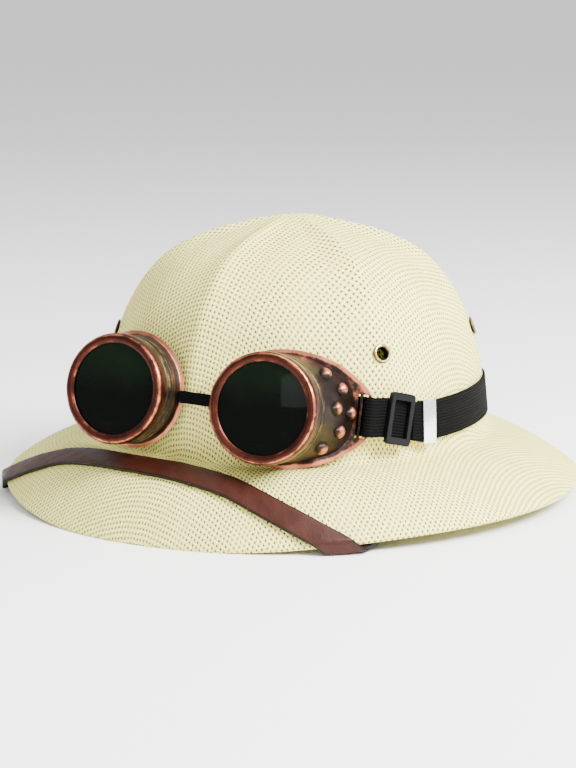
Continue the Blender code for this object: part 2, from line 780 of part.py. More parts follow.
def edge_path(turn):
    """Line a strap follows over the brim at one turn, and the travels of its three corners."""
    lift = GAP + LEATHER_THICKNESS / 2
    rim = brim_plan(turn)
    out = rim.normalized()
    base = rim + Vector((0, 0, edge_height(turn)))
    stations = [0.6 + 0.2 * step for step in range(12)]
    over = lift + GAP
    top = [shell_point(turn, along) + shell_normal(turn, along) * over for along in stations]
    under = [shell_point(turn, along) - shell_normal(turn, along) * (STRAW_WALL + lift + 2 * GAP)
             for along in stations]
    loose = lift + 3 * GAP
    corners = [base - out * (STRAW_WALL + loose) - Vector((0, 0, loose)),
               base + out * loose - Vector((0, 0, loose)),
               base + out * loose + Vector((0, 0, HEM_DROP + 2 * GAP))]
    points = under + corners + top[::-1]
    travels = [0.0]
    for first, second in zip(points, points[1:]):
        travels.append(travels[-1] + (second - first).length)
    start = travels[len(under) + 1]
    rows = [(travel - start, point) for travel, point in zip(travels, points)]
    return rows, [row[0] for row in rows[len(under):len(under) + 3]]


def path_point(rows, travel):
    for low, high in zip(rows, rows[1:]):
        if travel <= high[0]:
            share = (travel - low[0]) / (high[0] - low[0])
            return low[1].lerp(high[1], min(max(share, 0), 1))
    return rows[-1][1]


def strap_columns(low, high, corners):
    """Travels across the strap: both edges and between them the three corners it bends over."""
    inner = []
    for column, corner in enumerate(corners):
        least = low + (column + 1) * CHIN_FOLD
        inner.append(min(max(corner, least), high - (len(corners) - column) * CHIN_FOLD))
    return [low, *inner, high]


def chin_middle(turn):
    """Travel in from the brim's edge of the chin strap's middle line, at a turn in radians."""
    width = (brim_plan(turn) - crown_plan(turn)).length
    rows = [(row.turn, row.travel) for row in CHIN_ROUTE]
    return curve_value(rows, abs(degrees(turn) - CHIN_SHIFT))[0] * width


def build_chin_strap(material):
    """Leather strap over the brim's front, bent round its edge and stitched inside the crown."""
    last = radians(CHIN_ROUTE[-1].turn)
    rows = []
    for step in range(-CHIN_STEPS, CHIN_STEPS + 1):
        turn = last * step / CHIN_STEPS + radians(CHIN_SHIFT)
        nudge = 0.02
        radius = brim_plan(turn).length
        rise = (chin_middle(turn + nudge) - chin_middle(turn - nudge)) / (2 * nudge * radius)
        half = LEATHER_WIDTH / 2 * sqrt(1 + rise * rise)
        line, corners = edge_path(turn)
        middle = chin_middle(turn)
        columns = strap_columns(middle - half, middle + half, corners)
        rows.append([path_point(line, travel) for travel in columns])
    return ribbon_object("chin_strap", rows, LEATHER_THICKNESS, material)


empty_file()
PARTS = new_collection("pith_helmet")
CUTTERS = new_collection("cutters")
straw = new_material("straw", (0.80, 0.77, 0.55), 0.8)
brass = new_material("brass", (0.42, 0.30, 0.14), 0.4, 1.0)
copper = new_material("copper", (0.42, 0.13, 0.06), 0.35, 1.0)
bronze = new_material("bronze", (0.16, 0.10, 0.07), 0.45, 1.0)
dark_glass = new_material("dark_glass", (0.01, 0.015, 0.01), 0.05)
black = new_material("black_elastic", (0.02, 0.02, 0.025), 0.8)
black_plastic = new_material("black_plastic", (0.03, 0.03, 0.03), 0.35)
steel = new_material("bright_steel", (0.75, 0.75, 0.75), 0.25, 1.0)
leather = new_material("leather", (0.16, 0.06, 0.04), 0.5)

stand_off = seat_stand_off()
goggle_places = {side: goggle_place(side, stand_off) for side in (1, -1)}
strap_line = strap_route(goggle_places)
build_shell(straw)
build_eyelets(brass)
build_goggles(copper, bronze, dark_glass, goggle_places)
build_elastic(strap_line, black)
build_slider(strap_line, black_plastic)
build_tail_and_clip(strap_line, black, steel)
build_bridge(goggle_places, black)
build_chin_strap(leather)
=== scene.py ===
from collections import namedtuple
from math import acos, atan2, cos, degrees, hypot, pi, radians, sin, sqrt

import bpy
import numpy as np
from mathutils import Matrix, Vector


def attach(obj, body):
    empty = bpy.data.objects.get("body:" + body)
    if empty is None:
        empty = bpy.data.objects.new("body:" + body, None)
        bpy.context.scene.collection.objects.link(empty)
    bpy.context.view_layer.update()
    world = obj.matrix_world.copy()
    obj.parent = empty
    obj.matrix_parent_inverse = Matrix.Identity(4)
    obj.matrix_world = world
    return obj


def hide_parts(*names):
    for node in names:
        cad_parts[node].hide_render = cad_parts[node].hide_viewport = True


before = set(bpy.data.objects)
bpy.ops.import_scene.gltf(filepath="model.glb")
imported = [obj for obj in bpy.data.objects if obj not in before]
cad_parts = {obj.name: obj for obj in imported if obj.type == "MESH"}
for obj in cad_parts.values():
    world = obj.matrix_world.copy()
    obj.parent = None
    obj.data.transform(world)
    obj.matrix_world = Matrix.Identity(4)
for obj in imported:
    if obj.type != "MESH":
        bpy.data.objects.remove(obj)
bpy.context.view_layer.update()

# Camera: a long lens a little above the brim, turned to the wearer's left of the front,
# as for a catalogue photograph. Its numbers are in pixels of a frame 576 wide and 768 tall.
CAMERA_TURN = radians(30.2)
CAMERA_RISE = radians(9.8)
CAMERA_DISTANCE = 1.2016
FRAME_WIDE = 576
FRAME_TALL = 768
LENS_PIXELS = 2195.2
AXIS_PIXEL_X = 293.6
AXIS_PIXEL_Y = 357.1
SENSOR = 36
AIM_HEIGHT = 0.070


def direction(turn, rise):
    """Unit vector turned from the hat's front to the wearer's left, and raised."""
    return Vector((sin(turn) * cos(rise), -cos(turn) * cos(rise), sin(rise)))


def deselect():
    bpy.ops.object.select_all(action="DESELECT")


aim = Vector((0, 0, AIM_HEIGHT))
toward_camera = direction(CAMERA_TURN, CAMERA_RISE)
deselect()
bpy.ops.object.camera_add(location=aim + toward_camera * CAMERA_DISTANCE,
                          rotation=toward_camera.to_track_quat("Z", "Y").to_euler())
camera = bpy.context.object
camera.name = "studio_camera"
camera.data.sensor_width = SENSOR
camera.data.lens = LENS_PIXELS * SENSOR / FRAME_TALL
camera.data.shift_x = (FRAME_WIDE / 2 - AXIS_PIXEL_X) / FRAME_TALL
camera.data.shift_y = (AXIS_PIXEL_Y - FRAME_TALL / 2) / FRAME_TALL
bpy.context.scene.camera = camera

# Studio: white surroundings and a pale floor. A strong soft light stands high on the wearer's
# left, a weak one in front, and another above and behind for the crown's top.
Lamp = namedtuple("Lamp", "name turn rise distance size power")
LAMPS = (
    Lamp("key", 84, 40, 1.5, 0.7, 110),
    Lamp("fill", 15, 25, 1.8, 1.0, 10),
    Lamp("top", 150, 75, 1.5, 1.0, 14),
)
WORLD_LEVEL = 1.0
FLOOR_SIZE = 80
FLOOR_WHITE = (0.97, 0.97, 0.97)

world = bpy.data.worlds.new("white_studio")
world.use_nodes = True
background = world.node_tree.nodes["Background"]
background.inputs["Color"].default_value = (1, 1, 1, 1)
background.inputs["Strength"].default_value = WORLD_LEVEL
bpy.context.scene.world = world
for lamp in LAMPS:
    ray = direction(radians(lamp.turn), radians(lamp.rise))
    bpy.ops.object.light_add(type="AREA", location=aim + ray * lamp.distance,
                             rotation=ray.to_track_quat("Z", "Y").to_euler())
    light = bpy.context.object
    light.name = lamp.name + "_light"
    light.data.size = lamp.size
    light.data.energy = lamp.power


def new_material(name, colour, roughness, metallic=0.0):
    material = bpy.data.materials.new(name)
    material.use_nodes = True
    shader = material.node_tree.nodes["Principled BSDF"]
    shader.inputs["Base Color"].default_value = (*colour, 1)
    shader.inputs["Roughness"].default_value = roughness
    shader.inputs["Metallic"].default_value = metallic
    return material, material.node_tree, shader


deselect()
bpy.ops.mesh.primitive_plane_add(size=FLOOR_SIZE)
floor = bpy.context.object
floor.name = "floor"
floor.data.materials.append(new_material("floor_paint", FLOOR_WHITE, roughness=0.8)[0])

# Straw shell: crown and brim of woven paper straw, pressed over a hot block in one piece
# with six ridges and a low peak. The weave's yarns run front to back and side to side, and
# the brim's edge is turned down as a narrow hem.
MM = 0.001
HAT_HEIGHT = 147 * MM
CROWN_HALF_WIDTH = 101 * MM
CROWN_FRONT = 109 * MM
CROWN_BACK = 118 * MM
FOOT_HEIGHT = 32 * MM
FOOT_FILLET = 8 * MM
BRIM_HALF_WIDTH = 156 * MM
BRIM_FRONT = 157.5 * MM
BRIM_BACK = 157.5 * MM
BRIM_SIDE_LIFT = 7.4 * MM
BRIM_FRONT_BULGE = 13 * MM
BRIM_SIDE_BULGE = 4 * MM
HEM_DROP = 2.6 * MM
STRAW_WALL = 2 * MM
RIDGE_COUNT = 6
RIDGE_HEIGHT = 2.2 * MM
RIDGE_LEVEL = 0.3
RIDGE_FADE_TOP = 0.25
RIDGE_FADE_FOOT = 0.3
RIDGE_OUTWARD = 0.2
PEAK_HEIGHT = 1.6 * MM
PEAK_SPREAD = 0.22
PEAK_CAP = 0.02
REST_ARC = 0.22
HEM_ROLL = 0.5 * MM
SHELL_AROUND = 240
SHELL_DOWN = 96
SHELL_END = 3.12
HALVINGS = 30
CREASE_HEIGHT = 2.2 * MM
CREASE_SOFTNESS = 0.05
CREASE_LEVEL = 0.5
CREASE_FADE_TOP = 0.32
CREASE_FADE_FOOT = 0.25
CREASE_END = 1.02
PEAK_CREST = 1.8 * MM
EYELET_TURNS = (60, 120, 240, 300)
EYELET_RISE = 0.47
EYELET_BARREL = 3.9 * MM
EYELET_SIDES = 48
PUNCH_DEPTH = 12 * MM
GAP = 0.3 * MM
WELD = 0.01 * MM

# Weave: heights are shares of the yarns' relief. The fibres' scale is per metre and the
# others are per yarn.
YARN_PITCH = 2.8 * MM
YARN_LEVEL = 0.64
YARN_SWING = 0.36
YARN_RELIEF = 0.5 * MM
BIAS_PULL = 0.10
HOLE_SIZE = 0.42
HOLE_SHARPNESS = 4.5
SEED_STEP = 57.3
DRIFT_SCALE = 0.35
DRIFT_REACH = 0.55
STREAK_TURN = 0.6
STREAK_SCALE = (0.20, 0.035, 1.0)
STREAK_LEVELS = (0.40, 0.52)
FIBRE_SCALE = 900.0
YARN_DARK = (0.80, 0.755, 0.19, 1)
YARN_LIGHT = (0.94, 0.915, 0.30, 1)
# Painted shade: colour of the weave's hollows, where the yarns dip, and the heights over which it
# gives way to the yarns' own colour.
YARN_HOLLOW_SHADE = (0.52, 0.43, 0.09, 1)
HOLLOW_SHADE_LEVELS = (0.15, 0.75)
TAN_HOLE = (0.22, 0.17, 0.055, 1)
# Painted black shade seen through holes that open right through to the hat's inside.
HOLE_SHADE_BLACK = (0.018, 0.015, 0.007, 1)

CrownRow = namedtuple("CrownRow", "reach rise")
CROWN_SECTIONS = (
    CrownRow(0.000, 1.000),
    CrownRow(0.200, 0.986),
    CrownRow(0.390, 0.945),
    CrownRow(0.610, 0.853),
    CrownRow(0.747, 0.730),
    CrownRow(0.852, 0.565),
    CrownRow(0.932, 0.355),
    CrownRow(0.985, 0.150),
    CrownRow(1.000, 0.000),
)


def curve_value(rows, place):
    """Smooth curve through a table's rows, whose first column is the place along it."""
    last = len(rows) - 1
    step = 0
    while step < last - 1 and place > rows[step + 1][0]:
        step += 1
    low, high = rows[step], rows[step + 1]
    before, after = rows[max(step - 1, 0)], rows[min(step + 2, last)]
    span = high[0] - low[0]
    share = min(max((place - low[0]) / span, 0.0), 1.0)
    values = []
    for column in range(1, len(low)):
        slope_low = (high[column] - before[column]) / (high[0] - before[0]) * span
        slope_high = (after[column] - low[column]) / (after[0] - low[0]) * span
        square, cube = share ** 2, share ** 3
        values.append((2 * cube - 3 * square + 1) * low[column]
                      + (cube - 2 * square + share) * slope_low
                      + (3 * square - 2 * cube) * high[column]
                      + (cube - square) * slope_high)
    return values


def smooth_step(share):
    share = min(max(share, 0.0), 1.0)
    return share * share * (3 - 2 * share)


def length_shares(rows, across, up):
    """A profile's rows with their share of its length put in front."""
    lengths = [0.0]
    for first, second in zip(rows, rows[1:]):
        lengths.append(lengths[-1] + hypot((second[0] - first[0]) * across,
                                           (second[1] - first[1]) * up))
    return [(length / lengths[-1], *row) for length, row in zip(lengths, rows)]


CROWN_RISE = HAT_HEIGHT - PEAK_HEIGHT - FOOT_HEIGHT - FOOT_FILLET
CROWN_CURVE = length_shares(CROWN_SECTIONS, CROWN_HALF_WIDTH, CROWN_RISE)


def plan_point(turn, half_width, front, back):
    return Vector((half_width * sin(turn), -(front if cos(turn) > 0 else back) * cos(turn), 0))


def crown_plan(turn):
    return plan_point(turn, CROWN_HALF_WIDTH, CROWN_FRONT, CROWN_BACK)


def brim_plan(turn):
    return plan_point(turn, BRIM_HALF_WIDTH, BRIM_FRONT, BRIM_BACK)


def edge_height(turn):
    return BRIM_SIDE_LIFT * smooth_step((abs(sin(turn)) - REST_ARC) / (1 - REST_ARC))


def brim_drop(turn, share):
    """Height of the brim's outer face at a share of its width from the crown's foot."""
    edge = edge_height(turn) + HEM_DROP
    bulge = BRIM_SIDE_BULGE + (BRIM_FRONT_BULGE - BRIM_SIDE_BULGE) * max(cos(turn), 0) ** 2
    return FOOT_HEIGHT + (edge - FOOT_HEIGHT) * share + bulge * 4 * share * (1 - share)


def ridge_lift(turn, along):
    """Soft swell of the six ridges, which fades towards the peak and the foot."""
    wave = (0.5 + 0.5 * cos(RIDGE_COUNT * turn)) ** 3 - RIDGE_LEVEL
    fade = smooth_step(along / RIDGE_FADE_TOP) * smooth_step((1 - along) / RIDGE_FADE_FOOT)
    return RIDGE_HEIGHT * wave * fade


def shell_point(turn, along):
    """Point of the outer face: along 0 is the peak, 1 the foot, 2 the brim, 3 its edge."""
    crown, brim = crown_plan(turn), brim_plan(turn)
    width = (brim - crown).length
    if along <= 1:
        reach, rise = curve_value(CROWN_CURVE, along)
        outward = (1 - smooth_step(1 - along)) * (1 - RIDGE_OUTWARD) + RIDGE_OUTWARD
        lift = ridge_lift(turn, along)
        point = crown * reach + crown.normalized() * lift * outward
        height = FOOT_HEIGHT + FOOT_FILLET + CROWN_RISE * rise + lift * (1 - outward)
        peak = PEAK_HEIGHT * (1 - smooth_step(along / PEAK_SPREAD))
        return Vector((point.x, point.y, height + peak))
    fillet_share = FOOT_FILLET / width
    if along <= 2:
        share = along - 1
        start, middle, end = (1 - share) ** 2, 2 * share * (1 - share), share ** 2
        height = (start * (FOOT_HEIGHT + FOOT_FILLET) + middle * brim_drop(turn, 0)
                  + end * brim_drop(turn, fillet_share))
        point = crown.lerp(brim, end * fillet_share)
        return Vector((point.x, point.y, height))
    share = fillet_share + (1 - fillet_share) * (along - 2)
    if share > 1:
        hem = (share - 1) / (SHELL_END - 3) / (1 - fillet_share)
        out = brim.normalized() * HEM_ROLL * sin(pi * hem)
        return brim + out + Vector((0, 0, edge_height(turn) + HEM_DROP * (1 - hem)))
    point = crown.lerp(brim, share)
    return Vector((point.x, point.y, brim_drop(turn, share)))


def shell_normal(turn, along):
    nudge = 0.01
    down = shell_point(turn, along + nudge) - shell_point(turn, along - nudge)
    side = shell_point(turn + nudge, along) - shell_point(turn - nudge, along)
    return down.cross(side).normalized()


def shell_along(turn, height):
    """Place down the crown at a height, found by halving the stretch that holds it."""
    low, high = 0.05, 1.0
    for _ in range(HALVINGS):
        middle = (low + high) / 2
        if shell_point(turn, middle).z > height:
            low = middle
        else:
            high = middle
    return (low + high) / 2


def eyelet_place(turn_degrees):
    """Frame of an eyelet: Z out of the crown, origin on the shell's outer face."""
    turn = radians(turn_degrees)
    height = FOOT_HEIGHT + EYELET_RISE * (HAT_HEIGHT - FOOT_HEIGHT)
    along = shell_along(turn, height)
    normal = shell_normal(turn, along)
    side = Vector((0, 0, 1)).cross(normal).normalized()
    axes = Matrix((side, normal.cross(side), normal)).transposed().to_4x4()
    crest = shell_point(turn, along) + normal * crease_lift(turn, along)
    return Matrix.Translation(crest) @ axes


def edit_all(piece):
    """Only this piece selected, in edit mode with all of its mesh selected."""
    deselect()
    piece.select_set(True)
    bpy.context.view_layer.objects.active = piece
    bpy.ops.object.mode_set(mode="EDIT")
    bpy.ops.mesh.select_all(action="SELECT")


def end_edit():
    bpy.ops.object.mode_set(mode="OBJECT")


def apply_modifier(piece, kind, **values):
    """Gives a piece one modifier and applies it."""
    deselect()
    piece.select_set(True)
    bpy.context.view_layer.objects.active = piece
    modifier = piece.modifiers.new(kind.title(), kind)
    for name, value in values.items():
        setattr(modifier, name, value)
    bpy.ops.object.modifier_apply(modifier=modifier.name)


def smooth_piece(piece, angle=40):
    deselect()
    piece.select_set(True)
    bpy.context.view_layer.objects.active = piece
    bpy.ops.object.shade_smooth_by_angle(angle=radians(angle))


def finish_piece(piece, material, slot, *nodes):
    """Material and ride of a finished piece, and the solids that it stands for; its slot is not
    used.
    """
    piece.data.materials.clear()
    piece.data.materials.append(material)
    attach(piece, "root")
    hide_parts(*nodes)


def cloth_grid(name, cells_long, cells_wide, rule, close=False):
    """A grid laid over a form: rule(x, y) gives each point and its place on the flat cloth."""
    deselect()
    bpy.ops.mesh.primitive_grid_add(x_subdivisions=cells_long, y_subdivisions=cells_wide, size=2)
    piece = bpy.context.object
    piece.name = name
    laid = [rule(vertex.co.x / 2 + 0.5, vertex.co.y / 2 + 0.5) for vertex in piece.data.vertices]
    piece.data.vertices.foreach_set("co", [value for point, _ in laid for value in point])
    flat = piece.data.uv_layers.active.uv
    for index, loop in enumerate(piece.data.loops):
        flat[index].vector = laid[loop.vertex_index][1]
    edit_all(piece)
    if close:
        bpy.ops.mesh.remove_doubles(threshold=WELD)
    bpy.ops.mesh.normals_make_consistent(inside=False)
    end_edit()
    faces = piece.data.polygons
    middle = sum((face.center for face in faces), Vector()) / len(faces)
    outward = sum(face.normal.dot(face.center - middle) * face.area for face in faces)
    if close and outward < 0:
        edit_all(piece)
        bpy.ops.mesh.flip_normals()
        end_edit()
    return piece


def profile_lengths(turn):
    """Places down the shell with the length of straw from the peak to each."""
    places = [SHELL_END * step / SHELL_DOWN for step in range(SHELL_DOWN + 1)]
    points = [shell_point(turn, place) for place in places]
    lengths = [0.0]
    for first, second in zip(points, points[1:]):
        lengths.append(lengths[-1] + (second - first).length)
    return places, lengths


def crease_lift(turn, along):
    """Sharper crest pressed along each ridge line, above the soft swell of the block."""
    fold = 1 - (hypot(sin(RIDGE_COUNT / 2 * turn), CREASE_SOFTNESS) - CREASE_SOFTNESS)
    fade = (smooth_step(along / CREASE_FADE_TOP)
            * smooth_step((CREASE_END - along) / CREASE_FADE_FOOT))
    peak = PEAK_CREST * (1 - smooth_step(along / PEAK_SPREAD))
    return CREASE_HEIGHT * (fold ** 3 - CREASE_LEVEL) * fade + peak


straw_lengths = {}


def straw_rule(x, y):
    """Where a point of the straw cloth lies on the block, and its place in yarns."""
    turn = pi * (2 * x - 1)
    along = SHELL_END * y
    key = round(x * SHELL_AROUND)
    if key not in straw_lengths:
        straw_lengths[key] = profile_lengths(turn)
    length = np.interp(along, *straw_lengths[key]) * (1 - BIAS_PULL * sin(2 * turn) ** 2)
    point = shell_point(turn, along)
    if along < 1:
        normal = shell_normal(turn, along) if along > PEAK_CAP else Vector((0, 0, 1))
        point += normal * crease_lift(turn, along)
    return point, (length * sin(turn) / YARN_PITCH, length * cos(turn) / YARN_PITCH)


def set_inputs(tree, item, inputs):
    """Links each input that is given another node's output, and sets the others."""
    for socket, value in inputs.items():
        if isinstance(value, bpy.types.NodeSocket):
            tree.links.new(value, item.inputs[socket])
        else:
            item.inputs[socket].default_value = value


def add_node(tree, kind, inputs, **settings):
    item = tree.nodes.new(kind)
    for name, value in settings.items():
        setattr(item, name, value)
    set_inputs(tree, item, inputs)
    return item


def maths(tree, operation, first, second=0.0, third=0.0):
    inputs = {0: first, 1: second, 2: third}
    return add_node(tree, "ShaderNodeMath", inputs, operation=operation).outputs[0]


def blend_colour(tree, share, first, second):
    """Colour between two, by a share that changes over the surface."""
    item = add_node(tree, "ShaderNodeMix", {0: share, 6: first, 7: second}, data_type="RGBA")
    return item.outputs[2]


def ramp(tree, value, low, high, least=0.0, most=1.0):
    """A value's smooth rise from one level to another."""
    inputs = {"Value": value, "From Min": low, "From Max": high, "To Min": least, "To Max": most}
    item = add_node(tree, "ShaderNodeMapRange", inputs, interpolation_type="SMOOTHSTEP")
    return item.outputs[0]


def noise(tree, place, scale, detail=2.0, roughness=0.5):
    inputs = {"Vector": place, "Scale": scale, "Detail": detail, "Roughness": roughness}
    return add_node(tree, "ShaderNodeTexNoise", inputs).outputs["Fac"]


def object_place(tree):
    return add_node(tree, "ShaderNodeTexCoord", {}).outputs["Object"]


def flat_place(tree):
    return add_node(tree, "ShaderNodeTexCoord", {}).outputs["UV"]


def new_group(name, inputs, outputs):
    """Node group with named sockets: the group, and the nodes for what it is given and gives."""
    group = bpy.data.node_groups.new(name, "ShaderNodeTree")
    for title, kind in inputs:
        group.interface.new_socket(name=title, in_out="INPUT", socket_type=kind)
    for title, kind in outputs:
        group.interface.new_socket(name=title, in_out="OUTPUT", socket_type=kind)
    return group, group.nodes.new("NodeGroupInput"), group.nodes.new("NodeGroupOutput")


def add_bump(tree, shader, height, distance, strength=1.0):
    inputs = {"Height": height, "Distance": distance, "Strength": strength}
    bump = add_node(tree, "ShaderNodeBump", inputs)
    tree.links.new(bump.outputs["Normal"], shader.inputs["Normal"])


def plain_weave_group():
    """Yarns passing over and under each other, with a hole in the corner of each four."""
    group, given, result = new_group(
        "plain_weave", [("Yarns", "NodeSocketVector"), ("Hole Size", "NodeSocketFloat")],
        [("Height", "NodeSocketFloat"), ("Hole", "NodeSocketFloat"), ("Yarn", "NodeSocketFloat")])
    apart = add_node(group, "ShaderNodeSeparateXYZ", {0: given.outputs["Yarns"]})
    axes = [apart.outputs["X"], apart.outputs["Y"]]
    humps, rounds = [], []
    for axis in axes:
        wave = maths(group, "COSINE", maths(group, "MULTIPLY", axis, 2 * pi))
        humps.append(maths(group, "MULTIPLY_ADD", wave, 0.5, 0.5))
        rounds.append(maths(group, "ROUND", axis))
    levels = []
    for this, other, swing in ((0, 1, YARN_SWING), (1, 0, -YARN_SWING)):
        phase = maths(group, "MULTIPLY", maths(group, "ADD", axes[other], rounds[this]), pi)
        level = maths(group, "MULTIPLY_ADD", maths(group, "COSINE", phase), swing, YARN_LEVEL)
        levels.append(maths(group, "MULTIPLY", humps[this], level))
    height = maths(group, "MAXIMUM", *levels)
    gaps = [maths(group, "SUBTRACT", 1.0, hump) for hump in humps]
    middle = maths(group, "MULTIPLY", *gaps)
    edge = maths(group, "SUBTRACT", 1.0, given.outputs["Hole Size"])
    hole = maths(group, "MULTIPLY", maths(group, "SUBTRACT", middle, edge), HOLE_SHARPNESS)
    hole = maths(group, "MINIMUM", maths(group, "MAXIMUM", hole, 0.0), 1.0)
    over = maths(group, "GREATER_THAN", levels[0], levels[1])
    which = add_node(group, "ShaderNodeMix", {0: over, 2: rounds[1], 3: rounds[0]})
    seed = maths(group, "MULTIPLY_ADD", over, SEED_STEP, which.outputs[0])
    spread = add_node(group, "ShaderNodeTexWhiteNoise", {"W": seed}, noise_dimensions="1D")
    set_inputs(group, result, {"Height": height, "Hole": hole, "Yarn": spread.outputs["Value"]})
    return group


def straw_material():
    """Pale paper straw: the weave drifts, its hollows carry painted shade, and its holes are tan,
    with painted black shade in streaks where they open through to the hat's inside.
    """
    material, tree, shader = new_material("paper_straw", (0.8, 0.77, 0.55), 0.72)
    flat = flat_place(tree)
    drift = add_node(tree, "ShaderNodeTexNoise",
                     {"Vector": flat, "Scale": DRIFT_SCALE, "Detail": 2.0})
    shift = add_node(tree, "ShaderNodeVectorMath", {0: drift.outputs["Color"], 1: (0.5, 0.5, 0.5)},
                     operation="SUBTRACT")
    small = add_node(tree, "ShaderNodeVectorMath", {0: shift.outputs[0], 3: DRIFT_REACH},
                     operation="SCALE")
    yarns = add_node(tree, "ShaderNodeVectorMath", {0: flat, 1: small.outputs[0]},
                     operation="ADD")
    weave = add_node(tree, "ShaderNodeGroup", {"Yarns": yarns.outputs[0], "Hole Size": HOLE_SIZE},
                     node_tree=plain_weave_group())
    streak = add_node(tree, "ShaderNodeMapping", {"Vector": flat, "Rotation": (0, 0, STREAK_TURN),
                                                  "Scale": STREAK_SCALE})
    open_part = ramp(tree, noise(tree, streak.outputs[0], 1.0, 3.0), *STREAK_LEVELS)
    # Holes are tan, and in streaks painted black with the shade of the hat's inside.
    depth = blend_colour(tree, open_part, TAN_HOLE, HOLE_SHADE_BLACK)
    fibres = noise(tree, object_place(tree), FIBRE_SCALE, 2.0)
    tint = maths(tree, "MULTIPLY_ADD", weave.outputs["Yarn"], 0.6,
                 maths(tree, "MULTIPLY", fibres, 0.5))
    colour = blend_colour(tree, tint, YARN_DARK, YARN_LIGHT)
    # Painted shade: the weave's low places are darkened towards the hollow colour.
    top = ramp(tree, weave.outputs["Height"], *HOLLOW_SHADE_LEVELS)
    colour = blend_colour(tree, top, YARN_HOLLOW_SHADE, colour)
    colour = blend_colour(tree, weave.outputs["Hole"], colour, depth)
    set_inputs(tree, shader, {"Base Color": colour})
    add_bump(tree, shader, weave.outputs["Height"], YARN_RELIEF, 0.6)
    return material


shell = cloth_grid("straw_shell", SHELL_AROUND, SHELL_DOWN, straw_rule, close=True)
apply_modifier(shell, "SOLIDIFY", thickness=STRAW_WALL, offset=-1, use_even_offset=True)
for turn in EYELET_TURNS:
    place = eyelet_place(turn)
    deselect()
    bpy.ops.mesh.primitive_cylinder_add(vertices=EYELET_SIDES, radius=EYELET_BARREL + GAP,
                                        depth=PUNCH_DEPTH)
    punch = bpy.context.object
    punch.data.transform(place)
    apply_modifier(shell, "BOOLEAN", operation="DIFFERENCE", solver="EXACT", object=punch)
    bpy.data.objects.remove(punch)
smooth_piece(shell, 50)
finish_piece(shell, straw_material(), "straw", "shell")

# Eyelets: short brass tubes set through the side ridges for air, with a round lip rolled over
# outside and a flatter one inside. Their brass is dull, and painted black with shade low down:
# in the bore and where the lips meet the straw.
EYELET_RADIUS = 5.1 * MM
EYELET_HOLE = 3.3 * MM
EYELET_LIP = 1.0 * MM
EYELET_ROUND = 0.16 * MM

# Worn metal finish: scales are per metre, and levels are shares of the wear and the patina. Below
# zero the wear paints black shade into joins and recesses.
CLOUD_SCALE = 160.0
CLOUD_SWING = 0.9
GRAIN_SCALE = 900.0
GRAIN_SHARE = 0.35
RUBBED_LEVELS = (0.42, 0.78)
PATINA_LEVELS = (0.38, 0.62)
PAINTED_SHADE_BLACK = (0.006, 0.004, 0.003, 1)
PAINTED_SHADE_LEVELS = (-0.25, 0.05)
SCRATCH_RELIEF = 0.08 * MM


def turned_piece(name, profile, sides):
    """A ring modelled from a circle, drawn out and widened once for each row of its profile."""
    deselect()
    radius, level = profile[0]
    bpy.ops.mesh.primitive_circle_add(vertices=sides, radius=radius, location=(0, 0, 0))
    piece = bpy.context.object
    piece.name = name
    edit_all(piece)
    bpy.ops.transform.translate(value=(0, 0, level))
    for wanted, height in (*profile[1:], profile[0]):
        bpy.ops.mesh.extrude_edges_move(TRANSFORM_OT_translate={"value": (0, 0, height - level)})
        bpy.ops.transform.resize(value=(wanted / radius, wanted / radius, 1),
                                 center_override=(0, 0, 0))
        radius, level = wanted, height
    bpy.ops.mesh.select_all(action="SELECT")
    bpy.ops.mesh.remove_doubles(threshold=WELD)
    bpy.ops.mesh.normals_make_consistent(inside=False)
    end_edit()
    return piece


def paint_wear(piece, rule):
    """Writes how far each point is rubbed bright, or below zero how deep its painted black shade
    is, as its wear and shade.
    """
    values = [min(max(rule(vertex.co), -1.0), 1.0) for vertex in piece.data.vertices]
    attribute = piece.data.attributes.new("wear_and_shade", "FLOAT", "POINT")
    attribute.data.foreach_set("value", values)


def worn_metal_group():
    """Rubbed and patina shares of a metal finish from its wear attribute, with scratches."""
    group, given, result = new_group(
        "worn_metal", [("Place", "NodeSocketVector"), ("Wear", "NodeSocketFloat")],
        [(title, "NodeSocketFloat") for title in ("Rubbed", "Patina", "Height")])
    place = given.outputs["Place"]
    cloud = noise(group, place, CLOUD_SCALE, 4.0, 0.6)
    grain = noise(group, place, GRAIN_SCALE, 3.0, 0.6)
    level = maths(group, "MULTIPLY_ADD", maths(group, "SUBTRACT", cloud, 0.5), CLOUD_SWING,
                  given.outputs["Wear"])
    mixed = maths(group, "MULTIPLY_ADD", grain, GRAIN_SHARE,
                  maths(group, "MULTIPLY", cloud, 1 - GRAIN_SHARE))
    set_inputs(group, result, {"Rubbed": ramp(group, level, *RUBBED_LEVELS),
                               "Patina": ramp(group, mixed, *PATINA_LEVELS), "Height": grain})
    return group


WORN_METAL = worn_metal_group()


def worn_material(name, old, dark, bright, roughness, metallic, polish):
    """Metal finish in three colours: its own, the dark of its patina and the rubbed edges, with
    painted black shade where the wear is below zero.
    """
    material, tree, shader = new_material(name, old, roughness, metallic)
    wear_and_shade = add_node(tree, "ShaderNodeAttribute", {}, attribute_name="wear_and_shade").outputs["Fac"]
    worn = add_node(tree, "ShaderNodeGroup", {"Place": object_place(tree), "Wear": wear_and_shade},
                    node_tree=WORN_METAL)
    colour = blend_colour(tree, worn.outputs["Patina"], (*dark, 1), (*old, 1))
    colour = blend_colour(tree, worn.outputs["Rubbed"], colour, (*bright, 1))
    # Painted shade: below zero the wear blends the colour to near black.
    colour = blend_colour(tree, ramp(tree, wear_and_shade, *PAINTED_SHADE_LEVELS), PAINTED_SHADE_BLACK, colour)
    rough = ramp(tree, worn.outputs["Rubbed"], 0.0, 1.0, roughness, polish)
    set_inputs(tree, shader, {"Base Color": colour, "Roughness": rough})
    add_bump(tree, shader, worn.outputs["Height"], SCRATCH_RELIEF, 0.5)
    return material


